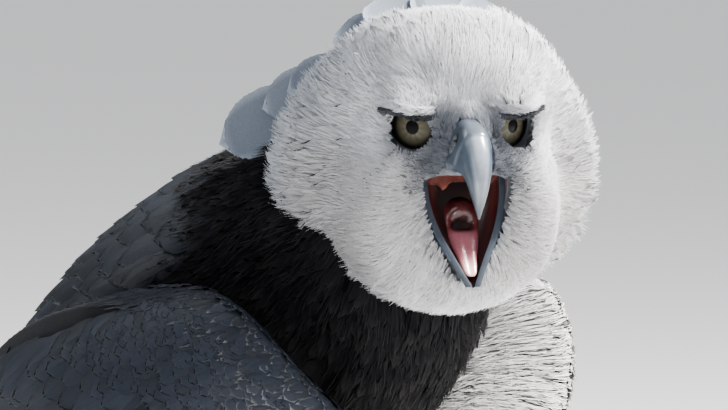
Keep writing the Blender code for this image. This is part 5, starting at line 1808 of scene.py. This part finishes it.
def covert_rows():
    """Rows of the wing's coverts: start, share of the slant, length, angles, count, half width, tip."""
    rows = []
    for k in range(SMALL_ROWS):
        s = k / (SMALL_ROWS - 1)
        rows.append((0.006 + 0.0070 * k, 1.0 - 0.15 * s, 0.024 + 0.020 * s, (-60, 1 + 6 * s),
                     int(33 - 9 * s), 0.0066 + 0.0042 * s, 0.0011 + 0.0009 * s))
    for start, follow, length, high, count, half in LARGE_ROWS:
        rows.append((start, follow, length, (-57, high), count, half, 0.0022))
    return rows


LONG_ROWS = (
    # start, share of the slant, lengths low and high, angles, count, half width, heights
    (0.190, 0.30, (0.215, 0.235), (-43, 20), 13, 0.0165, (-0.0090, -0.0010, 0.0026)),
    (0.200, 0.30, (0.205, 0.190), (14, 25), 3, 0.0190, (-0.0060, 0.0005, 0.0040)),
    (0.255, 0.00, (0.405, 0.245), (-17, -40), 9, 0.0125, (-0.0085, -0.0070, -0.0050)),
    (0.070, 0.00, (0.112, 0.080), (-66, -58), 4, 0.0120, (-0.0060, 0.0002, 0.0030)),
)
WING_TILT = 0.0016


def slanted(angles, follow):
    """How far back the feathers of a row start, as the wing's edges run back above and below."""
    slant = 0
    for back, level, span in (LEADING_SLANT, LOWER_SLANT):
        slant = slant + follow * back * np.clip((angles - level) / span, 0, None) ** 1.3
    return slant


EDGE_FROM = {"left": 14, "right": -30}  # where the dark feathers end over the leading edge, in degrees
EDGE_TO, EDGE_STEP = 64, 5


def lay_wing(label):
    surface, side = wing_surface(label), SIDES[label]
    batches = []
    for k, (start, follow, size, angles, count, half, tip) in enumerate(covert_rows()):
        share = (np.arange(count) + 0.5 * (k % 2)) / (count - 0.5)
        turn = angles[0] + (angles[1] - angles[0]) * share + DRAW.normal(0, 0.7, count)
        length = size * DRAW.uniform(0.86, 1.14, count)
        place = start + slanted(turn, follow) + DRAW.normal(0, 0.0026, count)
        lift = uneven((-0.0040, 0.0002, tip), 0.0002, count)
        pale = np.clip(ramp(turn, -16, -34) * (1 - start / 0.06), 0, 1) + 0.05
        batches.append(vanes(surface, side, place, np.radians(turn), DRAW.normal(0, 0.05, count), length,
                             half, lift, wing_colour(pale), rows=10, columns=7, ragged=0.04))
    for start, follow, lengths, angles, count, half, lift in LONG_ROWS:
        share = np.arange(count) / (count - 1)
        turn = angles[0] + (angles[1] - angles[0]) * share
        length = lengths[0] + (lengths[1] - lengths[0]) * share
        place = start + slanted(turn, follow)
        batches.append(vanes(surface, side, place, np.radians(turn), 0.0, length, half, lift, quill_colour,
                             shape="flight", rows=36, columns=9, camber=0.07, tilt=-WING_TILT, ragged=0.04))
    coats("wing_feathers_" + label, batches, VANE, "slate_feather")


MARGIN_COUNT = 56
MARGIN_SPAN = 0.94


def margin(pad, side, k, over, colour):
    """One row of small feathers over the wing's leading edge."""
    count = MARGIN_COUNT
    span = np.linspace(-MARGIN_SPAN, MARGIN_SPAN, count) + (k % 2) * MARGIN_SPAN / count
    span = span + DRAW.normal(0, 0.004, count)
    span = np.clip(span, -0.95, 0.95)
    turn = over + DRAW.normal(0, 0.03, count)
    length = 0.0160 * DRAW.uniform(0.85, 1.15, count)
    lift = uneven((-0.0036, 0.0002, 0.0008), 0.0002, count)
    return vanes(pad, side, turn, span, DRAW.normal(0, 0.08, count), length, 0.0052, lift, colour,
                 rows=7, columns=5, camber=0.12, ragged=0.04)


def lay_wing_edge(label):
    """Small feathers over the leading edge, and the white lining behind it."""
    pad, side = pad_surface(label), SIDES[label]
    edge = []
    for k, over in enumerate(range(EDGE_FROM[label], EDGE_TO, EDGE_STEP)):
        edge.append(margin(pad, side, k, np.radians(over), wing_colour(0.5 * ramp(over, 20, 0))))
    coats("wing_edge_" + label, edge, VANE, "slate_feather")
    a, b = scattered(950, np.radians((EDGE_FROM[label] + 14, -118)), (-0.93, 0.66))
    size = DRAW.uniform(0.024, 0.036, len(a))
    heading = np.pi + DRAW.normal(0, 0.12, len(a)) + side * 0.5
    lining = soft(pad, side, a, b, heading, size, 0.0066, (-0.0050, 0.0006, 0.0026), underwing_colour,
                  7, 0.00044)
    coats("wing_lining_" + label, lining, SOFT, "barred_feather")


# The tail

TAIL_LENGTH = 0.40
TAIL_FEATHERS = 6  # on each side
TAIL_FAN = (0.0035, 0.0066)  # how far apart the feathers are at the root and at the tip
TAIL_LAYER = 0.0022  # how far each lies under the one before
TAIL_BANDS = 3
TAIL_HALF = 0.0300
TAIL_COVERT_ROWS, TAIL_COVERTS = 6, 7
TAIL_COVERT_APART = 0.0115


def tail_colour(p, u, w, tint):
    """Black with broad pale grey bands and a pale tip."""
    wave = np.sin((u * 1.06 - 0.10) * 2 * np.pi * (TAIL_BANDS + 0.5) + 0.5 * np.abs(w))
    band = ramp(wave, -0.10, 0.25) * ramp(u, 0.12, 0.2)
    base = mix(row(0.020, 0.021, 0.026), row(0.185, 0.185, 0.190), band * 0.9)
    return mix(base, row(0.30, 0.30, 0.30), ramp(u, 0.965, 0.99))


def under_tail_colour(p, u, w, tint):
    bar = ramp(np.sin(u * 24), 0.2, 0.5)
    return mix(row(0.66, 0.66, 0.66), row(0.05, 0.05, 0.055), 0.8 * bar)


def lay_tail():
    batches = []
    for rank in range(TAIL_FEATHERS):
        for side in (1, -1):
            across = side * TAIL_FAN[0] * (rank + 0.5)
            length = TAIL_LENGTH - 0.005 * rank
            heading = side * (TAIL_FAN[1] - TAIL_FAN[0]) * (rank + 0.5) / length
            level = -TAIL_LAYER * (rank + (0.5 if side < 0 else 0.0))
            batches.append(vanes(tail_surface, -1, row(0.004), row(across), heading, length, TAIL_HALF,
                                 (level, level, level), tail_colour, shape="flight", rows=54, columns=11,
                                 camber=0.012, tilt=side * 0.0006, ragged=0.04))
    coats("tail_feathers", batches, VANE, "slate_feather")
    over, under = [], []
    for k in range(TAIL_COVERT_ROWS):
        start = row(-0.045 + 0.022 * k).repeat(TAIL_COVERTS)
        across = np.arange(TAIL_COVERTS) - (TAIL_COVERTS - 1) / 2 + 0.5 * (k % 2) - 0.25
        across = across * TAIL_COVERT_APART
        length = 0.085 * DRAW.uniform(0.92, 1.05, TAIL_COVERTS)
        for facing, back, heights, colour, batches in (
            (-1, 0.0, (0.004, 0.010, 0.0135 - 0.0012 * k), back_colour, over),
            (1, 0.010, (0.008, 0.017, 0.0200 - 0.0012 * k), under_tail_colour, under),
        ):
            lift = uneven(heights, 0.0004, TAIL_COVERTS)
            batches.append(vanes(tail_surface, facing, start + back, across, across * 1.2, length, 0.0145,
                                 lift, colour, rows=9, columns=7, camber=0.12, ragged=0.10))
    coats("tail_coverts_over", over, VANE, "slate_feather")
    coats("tail_coverts_under", under, VANE, "barred_feather")


# Thighs, shanks, toes and claws

def thigh_colour(p, u, t, tint):
    """White trousers with fine black bars across each feather."""
    white = mix(row(0.58, 0.58, 0.58), row(0.78, 0.78, 0.77), tint)
    bar = ramp(np.sin(u * 9.5 + 0.6), 0.25, 0.55) * ramp(u, 0.25, 0.4)
    return mix(white, row(0.035, 0.035, 0.040), 0.92 * bar)


def lay_thigh(label):
    surface = thigh_surface(label)
    a, b = scattered(1150, (0.03, 0.97), (0, 2 * np.pi))
    size = np.interp(a, (0, 1), (0.034, 0.022)) * DRAW.uniform(0.85, 1.15, len(a))
    size = np.minimum(size, (1.10 - a) * 0.24)
    batch = tufts(surface, SIDES[label], a, b, DRAW.normal(0, 0.16, len(a)), size, 0.0055,
                  (-0.005, 0.0005, 0.0034), thigh_colour, blades=7, thick=0.0009, fan=0.6, stray=0.08)
    coats("thigh_feathers_" + label, [batch], SOFT, "barred_feather")


ANKLE = row(0.075, 0.070, 0.160)
FOOT = row(0.078, 0.030, 0.0)
FOOT_HIGH = 0.030  # where the shank runs into the foot's pad
SHANK_SHARE = 0.82  # share of the rings that the shank takes
TARSUS_RADIUS = 0.0135
PAD_RADIUS = 0.022
PAD_RADII = ((0, 0.0175), (0.45, 0.0212), (0.85, 0.0214), (1, 0.0190))
SHANK_PLATES = 11
TOES = {
    # turn outwards in degrees, length, radius, length and radius of the claw
    "hind": (172, 0.052, 0.0120, 0.080, 0.0092),
    "inner": (-32, 0.066, 0.0118, 0.066, 0.0080),
    "middle": (3, 0.088, 0.0112, 0.052, 0.0066),
    "outer": (38, 0.070, 0.0100, 0.042, 0.0056),
}
CLAW_BEND = turned(105)
CLAW_ROOT = 0.0035  # how deep a claw stands in its toe
CLAW_OVER = 0.0012  # how far its tip's middle is over the floor
YELLOW = row(0.50, 0.32, 0.055)
PALE_YELLOW = row(0.60, 0.43, 0.12)


def foot_point(label, p):
    """World places from those of the left leg, as it was measured."""
    return p * row(SIDES[label], 1, 1) + SHIFT * row(1, 1, 0)


def make_tarsus(label):
    """The shank with its broad front plates, swelling into the foot's pad."""
    top = FOOT + UP * FOOT_HIGH
    rows, count = 110, 48
    share = np.linspace(0, 1, rows)
    shank = share < SHANK_SHARE
    down = np.clip(share / SHANK_SHARE, 0, 1)
    pad = np.clip((share - SHANK_SHARE) / (1 - SHANK_SHARE), 0, 1)
    centre = ANKLE + (top - ANKLE) * down[:, None] - UP * (FOOT_HIGH * pad)[:, None]
    radius = TARSUS_RADIUS + 0.0028 * (1 - down) ** 3 + 0.0035 * down**4
    radius = np.where(shank, radius, read(PAD_RADII, pad))
    turn = circle(count)
    out = ACROSS * np.cos(turn)[:, None] + row(0, -1, 0) * np.sin(turn)[:, None]
    front = ramp(np.sin(turn), 0.05, 0.45)[None, :]
    plate = np.abs(np.sin(down * math.pi * SHANK_PLATES))[:, None] ** 0.4
    small = (np.abs(np.sin(down * 60)[:, None]) * np.abs(np.sin(turn * 9 + 3 * down[:, None]))) ** 0.5
    relief = (0.0011 * plate * front + 0.0004 * small * (1 - front)) * (1 - 0.6 * pad[:, None])
    rings = centre[:, None, :] + out[None] * (radius[:, None] + relief)[..., None]
    rings[..., 2] = np.maximum(rings[..., 2], 0.0)
    obj = loft("shank_" + label, foot_point(label, rings), SCALES)
    seam = (1 - plate) * front + 0.5 * (1 - small) * (1 - front)
    paint_loft(obj, mix(PALE_YELLOW, YELLOW * 0.62, np.clip(seam, 0, 1)))
    return finished(obj, "leg_skin", "tarsus_" + label)


def make_claw(label, toe, size, way, aside, start, height):
    """A curved claw, flattened at the sides, with a groove below and its tip just over the floor."""
    length, radius = size
    bend = (length + CLAW_ROOT) / CLAW_BEND
    rise = CLAW_BEND / 2 - math.asin((height - CLAW_OVER) / (2 * bend * math.sin(CLAW_BEND / 2)))
    rows, count = 40, 24
    share = np.linspace(0, 1, rows)
    angle = rise - CLAW_BEND * share
    out = bend * (math.sin(rise) - np.sin(angle))
    up = height + bend * (np.cos(angle) - math.cos(rise))
    thick = radius * (1 - share) ** 0.75 + 0.0004
    centre = start + way * out[:, None] + UP * up[:, None]
    normal = UP * np.cos(angle)[:, None] - way * np.sin(angle)[:, None]
    turn = circle(count)
    flat = np.where(np.sin(turn) < -0.6, 0.86, 1.0)
    rings = centre[:, None, :] + aside * (thick[:, None] * 0.82 * np.cos(turn))[..., None]
    rings = rings + normal[:, None, :] * (thick[:, None] * np.sin(turn) * flat)[..., None]
    rings[..., 2] = np.maximum(rings[..., 2], 0.0004)
    obj = loft(f"talon_{label}_{toe}", foot_point(label, rings), CLAW)
    colour = mix(row(0.050, 0.048, 0.048), row(0.010, 0.010, 0.011), ramp(share, 0.0, 0.35))
    paint_loft(obj, np.repeat(colour, count, axis=0))
    finished(obj, "claw", f"claw_{label}_{toe}")


def make_toe(label, toe):
    """A toe with plates on its top, and its claw."""
    turn_out, length, radius, *claw = TOES[toe]
    angle = turned(turn_out)
    way = row(math.sin(angle), -math.cos(angle), 0)
    aside = row(way[1], -way[0], 0)
    rows, count = 60, 32
    share = np.linspace(0, 1, rows)
    start = FOOT + way * PAD_RADIUS * 0.45
    reach = length - PAD_RADIUS * 0.45
    thick = radius * (1 + 0.10 * np.cos(share * math.pi * 3.4)) * (1 - 0.12 * share)
    turn = circle(count)
    rise, out = np.sin(turn), np.cos(turn)
    top = ramp(rise, 0.1, 0.5)[None, :]
    plates = 9 if toe != "middle" else 13
    plate = np.abs(np.sin(share * math.pi * plates))[:, None] ** 0.45
    wide = thick[:, None] + 0.0008 * plate * top
    local = start + way * (reach * share)[:, None]
    rings = local[:, None, :] + aside * (wide * out)[..., None]
    rings = rings + UP * (thick * 0.9)[:, None, None] + UP * (wide * rise)[..., None]
    rings[..., 2] = np.maximum(rings[..., 2], 0.0)
    obj = loft(f"toe_skin_{label}_{toe}", foot_point(label, rings), SCALES)
    paint_loft(obj, mix(PALE_YELLOW, YELLOW * 0.60, (1 - plate) * top))
    finished(obj, "leg_skin", f"toe_{label}_{toe}")
    make_claw(label, toe, claw, way, aside, FOOT + way * (length - CLAW_ROOT), thick[-1] * 0.9)


# Camera, light and floor

PHOTO_WIDTH, PHOTO_HEIGHT = 728, 410
PIXEL = 1 / 1620  # metres a pixel at the head
EYES_AT = (461.5, 128.0)  # where the middle of the eyes is in the photo
CAMERA_TURN = turned(-50)
CAMERA_RISE = turned(5)
CAMERA_FAR = 3.0
SENSOR = 36.0


def aim(obj, direction):
    """Points a camera or a light, whose own front is -Z."""
    obj.rotation_mode = "QUATERNION"
    obj.rotation_quaternion = Vector(direction).to_track_quat("-Z", "Y")


def make_camera():
    """The photo's camera. Gives the directions back to it, to its right and up."""
    back = row(
        math.sin(CAMERA_TURN) * math.cos(CAMERA_RISE),
        -math.cos(CAMERA_TURN) * math.cos(CAMERA_RISE),
        math.sin(CAMERA_RISE),
    )
    right = row(math.cos(CAMERA_TURN), math.sin(CAMERA_TURN), 0)
    up = np.cross(back, right)
    target = EYE_MIDPOINT - right * (EYES_AT[0] - PHOTO_WIDTH / 2) * PIXEL
    target = target - up * (PHOTO_HEIGHT / 2 - EYES_AT[1]) * PIXEL
    data = bpy.data.cameras.new("photo_camera")
    data.sensor_width = SENSOR
    data.lens = SENSOR * CAMERA_FAR / (PHOTO_WIDTH * PIXEL)
    camera = placed("photo_camera", data)
    camera.location = target + back * CAMERA_FAR
    aim(camera, -back)
    bpy.context.scene.camera = camera
    return back, right, up


def lamp(name, kind, place, target, power, colour):
    data = bpy.data.lights.new(name, kind)
    data.energy = power
    data.color = colour
    light = placed(name, data)
    light.location = place
    aim(light, target - place)
    return light


SUN_FROM = (1.7, -0.3, 2.2)
AREA_LIGHTS = (
    # name, place to the right, back and up of the head, size, power, colour
    ("key", SUN_FROM, 0.6, 270, (1.0, 0.98, 0.95)),
    ("fill", (-1.3, 2.2, 1.2), 1.2, 10, (0.90, 0.94, 1.0)),
    ("rim", (-1.8, -1.2, 1.4), 1.2, 14, (0.92, 0.96, 1.0)),
)
BROAD_SUN, BROAD_ANGLE = 1.1, turned(30)
MOUTH_FROM, MOUTH_TO = (-0.10, 1.5, -0.50), row(0.005, 0.0, -0.040)
MOUTH_POWER, MOUTH_ANGLE = 70, turned(3.2)
SKY, SKY_STRENGTH = (0.80, 0.84, 0.90, 1), 0.30
PAPER = (0.92, 0.92, 0.91, 1)
FLOOR_RADIUS, FLOOR_SIDES = 70.0, 24


def make_lights(axes):
    """The lights of the studio, placed by directions as the camera sees them."""
    head = head_xyz(HEART)
    for name, place, size, power, colour in AREA_LIGHTS:
        light = lamp(name, "AREA", head + place @ axes, head, power, colour)
        light.data.shape = "DISK"
        light.data.size = size
    broad = lamp("broad", "SUN", head + SUN_FROM @ axes, head, BROAD_SUN, (1.0, 0.99, 0.97))
    broad.data.angle = BROAD_ANGLE
    mouth = head_xyz(MOUTH_TO)
    spot = lamp("mouth", "SPOT", head + MOUTH_FROM @ axes, mouth, MOUTH_POWER, (1.0, 0.96, 0.93))
    spot.data.spot_size = MOUTH_ANGLE
    spot.data.spot_blend = 0.8
    spot.data.shadow_soft_size = 0.08


def make_studio():
    """The camera, the lights, a pale sky and a pale floor."""
    back, right, _ = make_camera()
    make_lights(np.array([right, back, UP]))
    scene = bpy.context.scene
    scene.world = bpy.data.worlds.new("studio")
    scene.world.use_nodes = True
    sky = scene.world.node_tree.nodes["Background"]
    sky.inputs[0].default_value = SKY
    sky.inputs[1].default_value = SKY_STRENGTH
    scene.view_settings.view_transform = "AgX"
    scene.view_settings.look = "AgX - Medium High Contrast"
    scene.view_settings.exposure = 0.35
    floor = Nodes("floor_paper", 0.9)
    floor.base(PAPER)
    turn = circle(FLOOR_SIDES)
    points = FLOOR_RADIUS * np.stack([np.cos(turn), np.sin(turn), 0 * turn], -1)
    mesh_object("floor", points, [tuple(range(FLOOR_SIDES))], floor.material)


make_skin()
make_upper_bill()
make_lower_bill()
make_tongue()
make_palate()
for label in SIDES:
    make_eye(label)
    make_lids(label)
lay_face()
lay_ruff()
lay_crest()
lay_brows()
lay_bristles()
lay_gape_bristles()
lay_breast()
lay_belly()
lay_back()
for label in SIDES:
    lay_wing(label)
    lay_wing_edge(label)
    lay_thigh(label)
    make_tarsus(label)
    for toe in TOES:
        make_toe(label, toe)
lay_tail()
make_studio()
